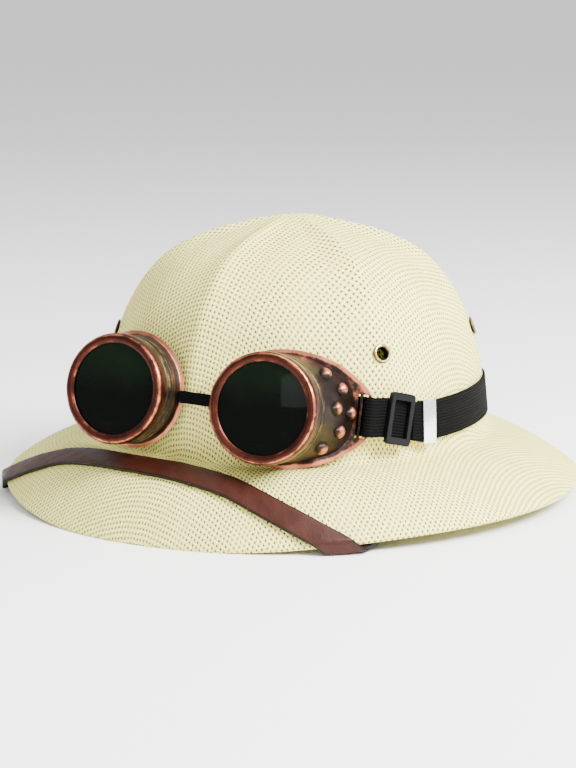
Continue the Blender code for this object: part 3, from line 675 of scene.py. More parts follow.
brass = worn_material("aged_brass", (0.20, 0.135, 0.055), (0.07, 0.045, 0.02), (0.58, 0.43, 0.21),
                      0.38, 0.9, 0.25)
inner_lip = -(STRAW_WALL + 3 * GAP)
for number, turn in enumerate(EYELET_TURNS):
    eyelet = turned_piece(f"brass_eyelet_{number + 1}", (
        (EYELET_RADIUS, 0.4 * GAP),
        (EYELET_BARREL, 0.4 * GAP),
        (EYELET_BARREL, inner_lip),
        (EYELET_RADIUS, inner_lip),
        (EYELET_RADIUS, inner_lip - 0.5 * EYELET_LIP),
        (EYELET_HOLE, inner_lip - 0.5 * EYELET_LIP),
        (EYELET_HOLE, GAP + 0.4 * EYELET_LIP),
        (EYELET_HOLE + 0.5 * MM, GAP + 0.9 * EYELET_LIP),
        (EYELET_BARREL + 0.3 * MM, GAP + EYELET_LIP),
        (EYELET_RADIUS - 0.2 * MM, GAP + 0.7 * EYELET_LIP),
    ), EYELET_SIDES)
    apply_modifier(eyelet, "BEVEL", width=EYELET_ROUND, segments=2, limit_method="ANGLE")
    # Wear rises with height: low down, in the bore and at the lips' feet, it falls below zero and
    # paints black shade.
    paint_wear(eyelet, lambda point: point.z / EYELET_LIP - 0.6)
    eyelet.data.transform(eyelet_place(turn))
    smooth_piece(eyelet)
    finish_piece(eyelet, brass, "brass", f"eyelet_{number + 1}")

# Chin strap: one long strip of brown leather that lies over the front of the brim when it
# isn't worn, bends round the brim's edge on each side and is fixed inside the crown's foot.
LEATHER_WIDTH = 12.8 * MM
LEATHER_THICKNESS = 2 * MM
LEATHER_ROUND = 0.45 * MM
LEATHER_SLANT = 1.15
LEATHER_DARK = (0.028, 0.0062, 0.0032, 1)
LEATHER_LIGHT = (0.037, 0.0085, 0.0045, 1)
LEATHER_EDGE = (0.004, 0.002, 0.0015, 1)
EDGE_DARK = 1.0
EDGE_BLACK = 0.4
CREASE_RELIEF = 0.12 * MM
CHIN_STEPS = 240
CHIN_CELLS = 12
CHIN_FOLD = 1.2 * MM
CHIN_SHIFT = -7.0
FIRST_STATION = 0.6
STATION_STEP = 0.2
STATIONS = 12

# Degrees from the strap's own middle, which lies CHIN_SHIFT off the front, and travels in from
# the brim's edge in brim widths, below zero where the strap has gone under the brim.
ChinRow = namedtuple("ChinRow", "turn travel")
CHIN_ROUTE = (
    ChinRow(0, 1.00),
    ChinRow(12, 0.96),
    ChinRow(24, 0.80),
    ChinRow(35, 0.46),
    ChinRow(44, 0.11),
    ChinRow(51, -0.20),
    ChinRow(60, -0.57),
    ChinRow(72, -0.94),
)


def edge_path(turn):
    """Line a strap follows over the brim at one turn, and the travels of its three corners."""
    lift = GAP + LEATHER_THICKNESS / 2
    rim = brim_plan(turn)
    out = rim.normalized()
    base = rim + Vector((0, 0, edge_height(turn)))
    stations = [FIRST_STATION + STATION_STEP * step for step in range(STATIONS)]
    over = lift + GAP
    top = [shell_point(turn, along) + shell_normal(turn, along) * over for along in stations]
    under = [shell_point(turn, along) - shell_normal(turn, along) * (STRAW_WALL + lift + 2 * GAP)
             for along in stations]
    loose = lift + 3 * GAP
    corners = [base - out * (STRAW_WALL + loose) - Vector((0, 0, loose)),
               base + out * loose - Vector((0, 0, loose)),
               base + out * loose + Vector((0, 0, HEM_DROP + 2 * GAP))]
    points = under + corners + top[::-1]
    travels = [0.0]
    for first, second in zip(points, points[1:]):
        travels.append(travels[-1] + (second - first).length)
    start = travels[len(under) + 1]
    rows = [(travel - start, point) for travel, point in zip(travels, points)]
    return rows, [row[0] for row in rows[len(under):len(under) + 3]]


def path_point(rows, travel):
    """Point of a line at a travel along it."""
    for low, high in zip(rows, rows[1:]):
        if travel <= high[0]:
            share = (travel - low[0]) / (high[0] - low[0])
            return low[1].lerp(high[1], min(max(share, 0), 1))
    return rows[-1][1]


def strap_columns(low, high, corners):
    """Travels across the strap: both edges and between them the three corners it bends over."""
    inner = []
    for column, corner in enumerate(corners):
        least = low + (column + 1) * CHIN_FOLD
        inner.append(min(max(corner, least), high - (len(corners) - column) * CHIN_FOLD))
    return [low, *inner, high]


def chin_middle(turn):
    """Travel of the strap's middle at a turn round the hat."""
    width = (brim_plan(turn) - crown_plan(turn)).length
    rows = [(row.turn, row.travel) for row in CHIN_ROUTE]
    return curve_value(rows, abs(degrees(turn) - CHIN_SHIFT))[0] * width


def chin_rule(x, y):
    """Point of the leather at a share along it and a share across it, and its flat place."""
    last = radians(CHIN_ROUTE[-1].turn)
    turn = last * (2 * x - 1) + radians(CHIN_SHIFT)
    nudge = 0.02
    radius = brim_plan(turn).length
    rise = (chin_middle(turn + nudge) - chin_middle(turn - nudge)) / (2 * nudge * radius)
    half = LEATHER_WIDTH / 2 * sqrt(1 + rise * rise)
    line, corners = edge_path(turn)
    middle = chin_middle(turn)
    columns = strap_columns(middle - half, middle + half, corners)
    travel = np.interp(y * (len(columns) - 1), range(len(columns)), columns)
    across = (travel - middle + half) / (2 * half)
    flat = (turn * radius * LEATHER_SLANT / MM, across * LEATHER_WIDTH / MM)
    return path_point(line, travel), flat


def leather_material():
    """Smooth brown leather: fine creases, a darker cut edge and a soft waxed shine."""
    material, tree, shader = new_material("brown_leather", (0.12, 0.035, 0.022), 0.42)
    flat = flat_place(tree)
    apart = add_node(tree, "ShaderNodeSeparateXYZ", {0: flat})
    width = LEATHER_WIDTH / MM
    from_middle = maths(tree, "ABSOLUTE", maths(tree, "SUBTRACT", apart.outputs["Y"], width / 2))
    edge = ramp(tree, from_middle, width / 2 - EDGE_DARK, width / 2 - EDGE_BLACK)
    cloud = noise(tree, flat, 0.12, 4.0, 0.6)
    grain = add_node(tree, "ShaderNodeTexVoronoi", {"Vector": flat, "Scale": 1.6})
    colour = blend_colour(tree, ramp(tree, cloud, 0.35, 0.65), LEATHER_DARK, LEATHER_LIGHT)
    colour = blend_colour(tree, edge, colour, LEATHER_EDGE)
    rough = ramp(tree, cloud, 0.3, 0.7, 0.34, 0.48)
    height = maths(tree, "MULTIPLY_ADD", noise(tree, flat, 0.5, 3.0), 0.8,
                   grain.outputs["Distance"])
    set_inputs(tree, shader, {"Base Color": colour, "Roughness": rough,
                              "Specular IOR Level": 0.20})
    add_bump(tree, shader, height, CREASE_RELIEF, 0.55)
    return material


chin_strap = cloth_grid("leather_chin_strap", CHIN_STEPS, CHIN_CELLS, chin_rule)
apply_modifier(chin_strap, "SOLIDIFY", thickness=LEATHER_THICKNESS, offset=0)
apply_modifier(chin_strap, "BEVEL", width=LEATHER_ROUND, segments=3, limit_method="ANGLE",
               angle_limit=radians(50))
smooth_piece(chin_strap, 60)
finish_piece(chin_strap, leather_material(), "leather", "chin_strap")

# Goggles: each eye has a moulded cup with an open back, a collar of two bands screwed into
# it and a retaining ring that holds a dark lens. All are plastic with an aged copper finish.
GOGGLE_SPACING = 82 * MM
GOGGLE_SIDEWAYS = -1 * MM
GOGGLE_HEIGHT = 70 * MM
GOGGLE_TURN = 7.0
GOGGLE_TOE_OUT = 4.0
GOGGLE_PITCH = 10.5
GOGGLE_ROLL = 2.7
GOGGLE_STAND_OFF = 26.846 * MM
RING_RADIUS = 28 * MM
RING_OPENING = 23 * MM
RING_DEPTH = 8 * MM
LENS_THICKNESS = 2 * MM
LENS_RECESS = 2.2 * MM
COLLAR_WALL = 2.2 * MM
COLLAR_LENGTH = 9 * MM
COLLAR_GROOVE = 0.8 * MM
RING_OVERHANG = 0.6 * MM
RING_ROUND = 0.25 * MM
COLLAR_ROUND = 0.2 * MM
LENS_BULGE = 1.2 * MM
LENS_INSETS = 6
LENS_INSET = 3.4 * MM
LENS_LOW = (0.0010, 0.0014, 0.0010, 1)
# Colour of the painted reflection near the lens's top, and the heights over which it fades in.
LENS_PAINTED_REFLECTION = (0.0030, 0.0070, 0.0028, 1)
LENS_REFLECTION_HEIGHTS = (8 * MM, 34 * MM)
ROUND_SIDES = 128
SEAT_RADIUS = RING_RADIUS - COLLAR_WALL - RING_OVERHANG


def goggle_axes(toe_out=0.0):
    """Axes of a goggle: turned, rolled and pitched as the pair sits on the crown."""
    turn = Matrix.Rotation(radians(GOGGLE_TURN + toe_out), 3, "Z")
    pitch = Matrix.Rotation(-radians(GOGGLE_PITCH), 3, "X")
    roll = Matrix.Rotation(radians(GOGGLE_ROLL), 3, "Y")
    upright = Matrix(((1, 0, 0), (0, 0, -1), (0, 1, 0)))
    return turn @ roll @ pitch @ upright


def goggle_place(side):
    """Frame of one goggle: X sideways, Y up, Z out of the lens, at its ring's front."""
    along = shell_along(radians(GOGGLE_TURN), GOGGLE_HEIGHT)
    seat = shell_point(radians(GOGGLE_TURN), along)
    forward = Matrix.Rotation(radians(GOGGLE_TURN), 3, "Z") @ Vector((0, -1, 0))
    across = Vector((-forward.y, forward.x, 0)) * GOGGLE_SIDEWAYS
    middle = Vector((seat.x, seat.y, GOGGLE_HEIGHT)) + forward * GOGGLE_STAND_OFF + across
    sideways = goggle_axes() @ Vector((side * GOGGLE_SPACING / 2, 0, 0))
    axes = goggle_axes(side * GOGGLE_TOE_OUT).to_4x4()
    return Matrix.Translation(middle + sideways) @ axes


GOGGLES = {"left": (1, goggle_place(1)), "right": (-1, goggle_place(-1))}
copper = worn_material("aged_copper", (0.060, 0.012, 0.005), (0.030, 0.007, 0.004),
                       (0.56, 0.17, 0.085), 0.34, 0.85, 0.24)
bronze = worn_material("dark_bronze", (0.026, 0.014, 0.010), (0.008, 0.005, 0.004),
                       (0.42, 0.13, 0.065), 0.44, 0.85, 0.32)
band_bronze = worn_material("olive_bronze", (0.050, 0.030, 0.014), (0.010, 0.007, 0.004),
                            (0.36, 0.19, 0.10), 0.40, 0.8, 0.30)


def lens_material():
    """Very dark green plastic with a hard gloss, and a painted green reflection that lightens it
    towards its top.
    """
    material, tree, shader = new_material("dark_lens", (0.004, 0.007, 0.004), 0.04)
    place = object_place(tree)
    height = add_node(tree, "ShaderNodeSeparateXYZ", {0: place}).outputs["Z"]
    cloud = noise(tree, place, 45.0, 2.0)
    level = maths(tree, "MULTIPLY_ADD", cloud, 0.02, height)
    # Painted reflection: the lens is blended towards a lighter green higher up.
    shade = ramp(tree, level, *(GOGGLE_HEIGHT + rise for rise in LENS_REFLECTION_HEIGHTS))
    colour = blend_colour(tree, shade, LENS_LOW, LENS_PAINTED_REFLECTION)
    set_inputs(tree, shader, {"Base Color": colour, "Specular IOR Level": 0.07})
    return material


dark_lens = lens_material()


# Wear of the rings and collars: how bright each place is rubbed, the groove's painted shade per
# metre, and where on the ring's front the rim's and the lip's bright bands lie. These bands are
# rubbed wear and also painted highlights. The ring's back and the cups' necks get painted black
# shade where they meet the collars.
RING_WEAR = 0.10
RIM_WEAR_AND_HIGHLIGHT = 0.58
RIM_CREST = 1.0 * MM
RIM_BAND = 1.5 * MM
RIM_DEPTH = 2.4 * MM
LIP_WEAR_AND_HIGHLIGHT = 0.5
LIP_CREST = 0.5 * MM
LIP_BAND = 0.8 * MM
LIP_DEPTH = 1.2 * MM
RING_REAR_SHADE = 0.7 * MM
BAND_WEAR = 0.45
GROOVE_SHADE_RATE = 1600
JOIN_SHADE_LEVEL = -0.4


def ring_wear(point):
    """Rubbed bright with painted highlights on the rounded front edge and on the inner lip, and
    painted black with shade at the back, where it meets the collar.
    """
    radius = hypot(point.x, point.y)
    # Painted shade at the ring's back, where it meets the collar.
    if point.z < -RING_DEPTH + RING_REAR_SHADE:
        return JOIN_SHADE_LEVEL
    # Bright bands on the rim and the lip: rubbed wear and painted highlights.
    rim = 1 - abs(radius - RING_RADIUS + RIM_CREST) / RIM_BAND if point.z > -RIM_DEPTH else 0
    lip = 1 - abs(radius - RING_OPENING - LIP_CREST) / LIP_BAND if point.z > -LIP_DEPTH else 0
    return RING_WEAR + RIM_WEAR_AND_HIGHLIGHT * max(rim, 0) + LIP_WEAR_AND_HIGHLIGHT * max(lip, 0)


def copper_ring(word, place):
    """Retaining ring: bevelled at the back, rolled in front and sloped down to the lens."""
    ring = turned_piece(f"copper_ring_{word}", (
        (RING_OPENING, -LENS_RECESS + GAP),
        (SEAT_RADIUS, -LENS_RECESS + GAP),
        (SEAT_RADIUS, -RING_DEPTH),
        (RING_RADIUS - 0.8 * MM, -RING_DEPTH),
        (RING_RADIUS, -RING_DEPTH + 1.6 * MM),
        (RING_RADIUS, -2.6 * MM),
        (RING_RADIUS - 0.35 * MM, -1.5 * MM),
        (RING_RADIUS - 1.1 * MM, -0.6 * MM),
        (RING_RADIUS - 2.3 * MM, -0.05 * MM),
        (RING_RADIUS - 3.4 * MM, -0.1 * MM),
        (RING_OPENING + 0.8 * MM, -0.5 * MM),
        (RING_OPENING, -1.1 * MM),
    ), ROUND_SIDES)
    apply_modifier(ring, "BEVEL", width=RING_ROUND, segments=2, limit_method="ANGLE",
                   angle_limit=radians(25))
    paint_wear(ring, ring_wear)
    ring.data.transform(place)
    smooth_piece(ring, 60)
    finish_piece(ring, copper, "copper", f"goggle_ring_{word}")


def lens_disc(word, place):
    """Round lens seated behind the ring, its front swelling a little inside the opening."""
    deselect()
    bpy.ops.mesh.primitive_circle_add(vertices=ROUND_SIDES, radius=SEAT_RADIUS - GAP,
                                      fill_type="NGON")
    lens = bpy.context.object
    lens.name = f"dark_lens_{word}"
    edit_all(lens)
    bpy.ops.mesh.extrude_region_move(TRANSFORM_OT_translate={"value": (0, 0, LENS_THICKNESS)})
    for _ in range(LENS_INSETS):
        bpy.ops.mesh.inset(thickness=LENS_INSET)
    bpy.ops.mesh.select_all(action="SELECT")
    bpy.ops.mesh.normals_make_consistent(inside=False)
    end_edit()
    for vertex in lens.data.vertices:
        radius = hypot(vertex.co.x, vertex.co.y)
        if vertex.co.z > LENS_THICKNESS - WELD and radius < RING_OPENING:
            vertex.co.z += LENS_BULGE * (1 - (radius / RING_OPENING) ** 2)
    lens.data.transform(place @ Matrix.Translation((0, 0, -LENS_RECESS - LENS_THICKNESS)))
    smooth_piece(lens)
    finish_piece(lens, dark_lens, "dark_lens", f"goggle_lens_{word}")


def banded_collar(word, place):
    """Collar of two bands with a groove between, its spigot inside the ring."""
    outer = RING_RADIUS - RING_OVERHANG
    spigot = SEAT_RADIUS - GAP
    front = -LENS_RECESS - LENS_THICKNESS - GAP
    back = -(RING_DEPTH + COLLAR_LENGTH)
    groove = back + COLLAR_LENGTH / 2
    collar = turned_piece(f"banded_collar_{word}", (
        (spigot, front),
        (spigot - COLLAR_WALL, front),
        (spigot - COLLAR_WALL, back),
        (outer - COLLAR_GROOVE, back),
        (outer, back + 0.6 * MM),
        (outer, groove - 1.2 * COLLAR_GROOVE),
        (outer - 1.1 * COLLAR_GROOVE, groove - 0.5 * COLLAR_GROOVE),
        (outer - 1.1 * COLLAR_GROOVE, groove + 0.5 * COLLAR_GROOVE),
        (outer, groove + 1.2 * COLLAR_GROOVE),
        (outer, -RING_DEPTH - GAP - COLLAR_GROOVE),
        (outer - COLLAR_GROOVE, -RING_DEPTH - GAP),
        (spigot, -RING_DEPTH - GAP),
    ), ROUND_SIDES)
    apply_modifier(collar, "BEVEL", width=COLLAR_ROUND, segments=2, limit_method="ANGLE",
                   angle_limit=radians(25))
    # Painted shade: the wear falls off inward from the bands' outer face, so the groove and every
    # face set in from it are painted black.
    paint_wear(collar, lambda point: BAND_WEAR + GROOVE_SHADE_RATE * (hypot(point.x, point.y) - outer))
    collar.data.transform(place)
    smooth_piece(collar, 50)
    finish_piece(collar, band_bronze, "bronze", f"goggle_collar_{word}")


for word, (_, place) in GOGGLES.items():
    copper_ring(word, place)
    lens_disc(word, place)
    banded_collar(word, place)

# Eye cups: the wall widens from the collar to a flange that is deeper at the temple, where
# its lug has a slot for the elastic and a narrow slit. Raised drop-shaped vents stand on the
# temple side, and the flange's edge is rubbed bright.
CUP_WALL = 1.5 * MM
CUP_NOSE_DEPTH = 21 * MM
CUP_TEMPLE_DEPTH = 49 * MM
CUP_NOSE_REACH = 29.4 * MM
CUP_TEMPLE_REACH = 41.5 * MM
FLARE_TEMPLE_REACH = 32.4 * MM
CUP_LOWER_SHARE = 0.82
CUP_DOWN = 30
NECK_LENGTH = 1.5 * MM
FLANGE_NOSE = 1.6 * MM
FLANGE_LEAN = 0.6 * MM
VENT_RADIUS = 2.8 * MM
VENT_SIZE = (1.3, 1.5, 1.15)
VENT_TAPER = 0.45
LUG_SLOT_WIDTH = 2.8 * MM
LUG_SLIT_WIDTH = 1.2 * MM
LUG_BAR = 2.4 * MM
SLOT_PLAY = 2 * MM
SLOT_CUT = 8 * MM
NECK_RADIUS = RING_RADIUS - 1.2 * MM
NECK_START = RING_DEPTH + COLLAR_LENGTH + GAP
ELASTIC_WIDTH = 20 * MM

CupRow = namedtuple("CupRow", "angle outline flare depth")
CUP_SECTIONS = (
    CupRow(0, 1.00, 1.00, 1.00),
    CupRow(12, 1.06, 1.10, 1.00),
    CupRow(32, 0.68, 1.28, 0.80),
    CupRow(50, 0.40, 0.52, 0.58),
    CupRow(68, 0.17, 0.18, 0.35),
    CupRow(90, 0.03, 0.05, 0.17),
    CupRow(125, 0.00, 0.04, 0.03),
    CupRow(180, 0.00, 0.04, 0.00),
)

VentRow = namedtuple("VentRow", "angle along")
VENTS = (
    VentRow(42, 0.38),
    VentRow(24, 0.55),
    VentRow(6, 0.30),
    VentRow(2, 0.78),
    VentRow(-16, 0.52),
    VentRow(-36, 0.35),
)


def cup_row(angle):
    """Outline radius, flare radius and depth of a cup at an angle from its temple side."""
    outline, flare, depth = curve_value(CUP_SECTIONS, degrees(acos(cos(angle))))
    if sin(angle) < 0:
        lower = 1 + (CUP_LOWER_SHARE - 1) * sin(angle) ** 2
        outline, flare, depth = outline * lower, flare * lower, depth * lower
    flange = CUP_NOSE_REACH - FLANGE_NOSE
    return (CUP_NOSE_REACH + (CUP_TEMPLE_REACH - CUP_NOSE_REACH) * outline,
            flange + (FLARE_TEMPLE_REACH - flange) * flare,
            CUP_NOSE_DEPTH + (CUP_TEMPLE_DEPTH - CUP_NOSE_DEPTH) * depth)


def cup_point(angle, station, side):
    """Outer face of a cup in its own frame, from its neck at 0 to its flange's edge at 5."""
    outline, flare, depth = cup_row(angle)
    start = NECK_START + NECK_LENGTH
    table = (
        (0, NECK_RADIUS, NECK_START),
        (1, NECK_RADIUS, start),
        (2, NECK_RADIUS + 0.35 * (flare - NECK_RADIUS), start + 0.40 * (depth - start)),
        (3, NECK_RADIUS + 0.72 * (flare - NECK_RADIUS), start + 0.78 * (depth - start)),
        (4, flare, depth),
        (5, outline, depth + FLANGE_LEAN),
    )
    low = table[min(int(station), 4)]
    high = table[min(int(station), 4) + 1]
    share = station - low[0]
    radius = low[1] + (high[1] - low[1]) * share
    back = low[2] + (high[2] - low[2]) * share
    return Vector((side * radius * cos(angle), radius * sin(angle), -back))


def add_box(size, place):
    """A cube primitive at a size and place, for cutting."""
    deselect()
    bpy.ops.mesh.primitive_cube_add(size=1)
    box = bpy.context.object
    box.data.transform(place @ Matrix.Diagonal((*size, 1)))
    return box


def lug_slots():
    """Reach and width of the elastic's slot in the lug and of the slit beside it."""
    strap = CUP_TEMPLE_REACH - LUG_BAR - LUG_SLOT_WIDTH / 2
    slit = strap - LUG_SLOT_WIDTH / 2 - LUG_BAR / 2 - LUG_SLIT_WIDTH / 2
    return (strap, LUG_SLOT_WIDTH), (slit, LUG_SLIT_WIDTH)


def vent_drop(vent, side):
    """A raised vent: a drop with its narrow end towards the neck, half sunk in the wall."""
    angle = radians(vent.angle)
    point = cup_point(angle, 1 + 3 * vent.along, side)
    down = (cup_point(angle, 4, side) - cup_point(angle, 1, side)).normalized()
    around = cup_point(angle + 0.05, 2.5, side) - cup_point(angle - 0.05, 2.5, side)
    normal = (down.cross(around) * side).normalized()
    deselect()
    bpy.ops.mesh.primitive_uv_sphere_add(segments=24, ring_count=14, radius=1)
    drop = bpy.context.object
    for vertex in drop.data.vertices:
        narrow = 1 - VENT_TAPER * max(-vertex.co.y, 0)
        vertex.co.x *= narrow
        vertex.co.z *= narrow
    axes = Matrix((down.cross(normal), down, normal)).transposed().to_4x4()
    size = Matrix.Diagonal((*(share * VENT_RADIUS for share in VENT_SIZE), 1))
    drop.data.transform(Matrix.Translation(point) @ axes @ size)
    return drop


# Wear of the cups: how bright the wall, the flange and its edge are rubbed and where each
# band lies, how far up the neck is painted black with shade, and how a vent goes from painted black
# shade at its foot to rubbed bright, per metre of its rise.
WALL_WEAR = 0.12
FLANGE_WEAR = 0.42
FLANGE_START = 1.2 * MM
FLANGE_FADE = 1.0 * MM
FLANGE_EDGE_WEAR = 0.34
FLANGE_EDGE = 2.6 * MM
FLANGE_EDGE_FADE = 1.6 * MM
NECK_SHADE = 0.9 * MM
INNER_RIM = 2.5 * MM
INNER_DEPTH = 0.5 * MM
VENT_FOOT_SHADE = -0.25
VENT_SHADE_TO_WEAR_RATE = 160


def cup_wear(point, side):
    """Bright on the flange, most of all along its edge, little elsewhere, and painted black with
    shade at the neck, where it meets the collar.
    """
    angle = atan2(point.y, side * point.x)
    outline, flare, depth = cup_row(angle)
    radius = hypot(point.x, point.y)
    # Painted shade at the neck, where the cup meets the collar.
    if -point.z <= NECK_START + NECK_SHADE:
        return JOIN_SHADE_LEVEL
    if radius < flare - INNER_RIM and -point.z > depth - INNER_DEPTH:
        return WALL_WEAR
    edge = smooth_step((radius - (outline - FLANGE_EDGE)) / FLANGE_EDGE_FADE)
    reach = smooth_step((-point.z - depth + FLANGE_START) / FLANGE_FADE)
    return max(WALL_WEAR, (FLANGE_WEAR + FLANGE_EDGE_WEAR * edge) * reach)


for word, (side, place) in GOGGLES.items():
    cup = cloth_grid(
        f"eye_cup_{word}", ROUND_SIDES, CUP_DOWN,
        lambda x, y: (cup_point(2 * pi * x, 5 * y, side), (x, y)), close=True)
    apply_modifier(cup, "SOLIDIFY", thickness=CUP_WALL, offset=-1)
    for reach, width in lug_slots():
        centre = Matrix.Translation((side * reach, 0, -CUP_TEMPLE_DEPTH))
        box = add_box((width, ELASTIC_WIDTH + SLOT_PLAY, SLOT_CUT), centre)
        apply_modifier(cup, "BOOLEAN", operation="DIFFERENCE", solver="EXACT", object=box)
        bpy.data.objects.remove(box)
    drops = [vent_drop(vent, side) for vent in VENTS]
    paint_wear(cup, lambda point: cup_wear(point, side))
    for drop in drops:
        low = min(hypot(vertex.co.x, vertex.co.y) for vertex in drop.data.vertices)
        # Painted shade at each vent's foot, giving way to rubbed brightness higher up.
        paint_wear(drop, lambda point: VENT_SHADE_TO_WEAR_RATE * (hypot(point.x, point.y) - low) + VENT_FOOT_SHADE)
    deselect()
    for piece in (*drops, cup):
        piece.select_set(True)
    bpy.context.view_layer.objects.active = cup
    bpy.ops.object.join()
    cup.data.transform(place)
    smooth_piece(cup, 35)
    finish_piece(cup, bronze, "bronze", f"goggle_cup_{word}")

# Bridge strap: a narrow flat band of black elastic that joins the cups over the nose. Its
# ends meet the necks of the two cups. Places on the flat webbing are in millimetres.
BRIDGE_WIDTH = 6.2 * MM
BRIDGE_THICKNESS = 1.4 * MM
BRIDGE_STEPS = 8
BRIDGE_SEAT = 0.6 * MM
BRIDGE_BEHIND = 2 * MM
BRIDGE_RIB = 0.8
BRIDGE_BLACK = (0.0008, 0.0008, 0.0009)
BRIDGE_THREAD = (0.0040, 0.0040, 0.0045)
STITCH_PITCH = 0.9
STITCH_RELIEF = 0.12
WEBBING_RELIEF = 0.35 * MM


def webbing_material(name, rib, colour, light):
    """Woven elastic: ribs along the strap and fine stitches across it."""
    material, tree, shader = new_material(name, colour, 0.78)
    flat = flat_place(tree)
    apart = add_node(tree, "ShaderNodeSeparateXYZ", {0: flat})
    across = maths(tree, "COSINE", maths(tree, "MULTIPLY", apart.outputs["Y"], 2 * pi / rib))
    ridge = maths(tree, "MULTIPLY_ADD", across, 0.5, 0.5)
    stitches = maths(tree, "COSINE",
                     maths(tree, "MULTIPLY", apart.outputs["X"], 2 * pi / STITCH_PITCH))
    height = maths(tree, "MULTIPLY_ADD", stitches, STITCH_RELIEF, ridge)
    fuzz = noise(tree, flat, 2.5, 3.0)
    share = maths(tree, "MULTIPLY", ridge, fuzz)
    mixed = blend_colour(tree, share, (*colour, 1), (*light, 1))
    set_inputs(tree, shader, {"Base Color": mixed, "Specular IOR Level": 0.05})
    add_bump(tree, shader, height, WEBBING_RELIEF, 0.9)
    return material


def strap_piece(name, rows, width, thickness, cells=8):
    """A strap laid along rows of middles and width directions, with soft edges."""
    travels = [0.0]
    for (here, _), (ahead, _) in zip(rows, rows[1:]):
        travels.append(travels[-1] + (ahead - here).length)
    last = len(rows) - 1

    def rule(x, y):
        index = round(x * last)
        middle, up = rows[index]
        return middle + up * width * (y - 0.5), (travels[index] / MM, y * width / MM)

    piece = cloth_grid(name, last, cells, rule)
    apply_modifier(piece, "SUBSURF", levels=2, render_levels=2)
    apply_modifier(piece, "SOLIDIFY", thickness=thickness, offset=0)
    apply_modifier(piece, "BEVEL", width=0.25 * thickness, segments=2, limit_method="ANGLE",
                   angle_limit=radians(50))
    smooth_piece(piece, 60)
    return piece


ends = []
for word, (side, place) in GOGGLES.items():
    reach = NECK_RADIUS + GAP + BRIDGE_SEAT
    centre = place @ Vector((-side * reach, 0, -NECK_START - BRIDGE_BEHIND))
    ends.append((centre, place.to_3x3() @ Vector((0, 1, 0))))
(left, left_up), (right, right_up) = ends
rows = []
for step in range(BRIDGE_STEPS + 1):
    share = step / BRIDGE_STEPS
    rows.append((left.lerp(right, share), left_up.lerp(right_up, share).normalized()))
bridge = strap_piece("bridge_band", rows, BRIDGE_WIDTH, BRIDGE_THICKNESS)
flat_elastic = webbing_material("flat_elastic", BRIDGE_RIB, BRIDGE_BLACK, BRIDGE_THREAD)
finish_piece(bridge, flat_elastic, "elastic", "bridge_strap")

# Elastic strap: ribbed black webbing from one cup's lug round the crown to the other's. It
# comes out through the lug's slot, lies over the lug's bar and runs straight to the crown,
# which it meets where a straight line just touches it.
ELASTIC_THICKNESS = 1.5 * MM
ELASTIC_HEIGHT = 50 * MM
ELASTIC_RIB = 1.55
ELASTIC_BLACK = (0.0006, 0.0006, 0.0008)
ELASTIC_THREAD = (0.0045, 0.0045, 0.0050)
CLIP_SHEET = 0.7 * MM
ROUTE_TURNS = 60
FIRST_TOUCH = 6
ROOM_FADE = 5
FREE_STEP = 6 * MM
FACE_STEPS = 90
STRAP_CELLS = 10
STRAP_LIFT = GAP + ELASTIC_THICKNESS / 2
CLIP_ROOM = CLIP_SHEET + 4 * GAP


def strap_face(turn, height, lift):
    """Middle and width direction of a strap lying on the crown, lifted off its face."""
    faces = []
    for rise in (-ELASTIC_WIDTH / 2, 0, ELASTIC_WIDTH / 2):
        along = min((step / FACE_STEPS for step in range(1, 2 * FACE_STEPS + 1)),
                    key=lambda place: abs(shell_point(turn, place).z - height - rise))
        faces.append(shell_point(turn, along))
    low, waist, high = faces
    width = (high - low).normalized()
    out = Vector((low.x, low.y, 0)).normalized()
    out = (out - width * out.dot(width)).normalized()
    middle = (low + high) / 2
    bulge = max((waist - middle).dot(out), 0)
    return middle + out * (lift + bulge), width


def strap_route():
    """Middles and width directions of the elastic from the left lug round to the right one."""
    (slot, _), (slit, _) = lug_slots()
    front = -CUP_TEMPLE_DEPTH + STRAP_LIFT + 2 * GAP
    outer = CUP_TEMPLE_REACH + STRAP_LIFT
    lug = (
        (slit - 2 * MM, front - 5.1 * MM),
        (slit, front - 5.1 * MM),
        (slot, front - 4.4 * MM),
        (slot, front - 1.2 * MM),
        (slot + 0.8 * MM, front - 0.1 * MM),
        (slot + 2.2 * MM, front + 0.2 * MM),
        (outer - 0.9 * MM, front),
        (outer + 0.2 * MM, front - 1.0 * MM),
        (outer + 0.6 * MM, front - 2.4 * MM),
    )
    sides = []
    for side, place in GOGGLES.values():
        up = place.to_3x3() @ Vector((0, 1, 0))
        rows = [(place @ Vector((side * reach, 0, back)), up) for reach, back in lug]
        start = rows[-1][0]
        best = None
        for index in range(ROUTE_TURNS // 2):
            turn = side * 2 * pi * index / ROUTE_TURNS
            face, width = strap_face(turn, ELASTIC_HEIGHT, STRAP_LIFT + CLIP_ROOM)
            angle = atan2(side * (face.x - start.x), face.y - start.y)
            if index > FIRST_TOUCH and (best is None or angle > best[0]):
                best = (angle, index, face, width)
        _, touch, landing, landing_up = best
        steps = max(int((landing - start).length / FREE_STEP), 2)
        for step in range(1, steps):
            share = step / steps
            ease = smooth_step(share)
            middle = start.lerp(landing, share)
            middle.z = start.z + (landing.z - start.z) * ease
            rows.append((middle, up.lerp(landing_up, ease).normalized()))
        sides.append((rows, touch))
    (left_rows, first), (right_rows, other) = sides
    final = ROUTE_TURNS - other
    around = []
    for index in range(first, final + 1):
        turn = 2 * pi * index / ROUTE_TURNS
        room = CLIP_ROOM * (1 - smooth_step(min(index - first, final - index) / ROOM_FADE))
        around.append(strap_face(turn, ELASTIC_HEIGHT, STRAP_LIFT + GAP + room))
    return left_rows + around + right_rows[::-1]


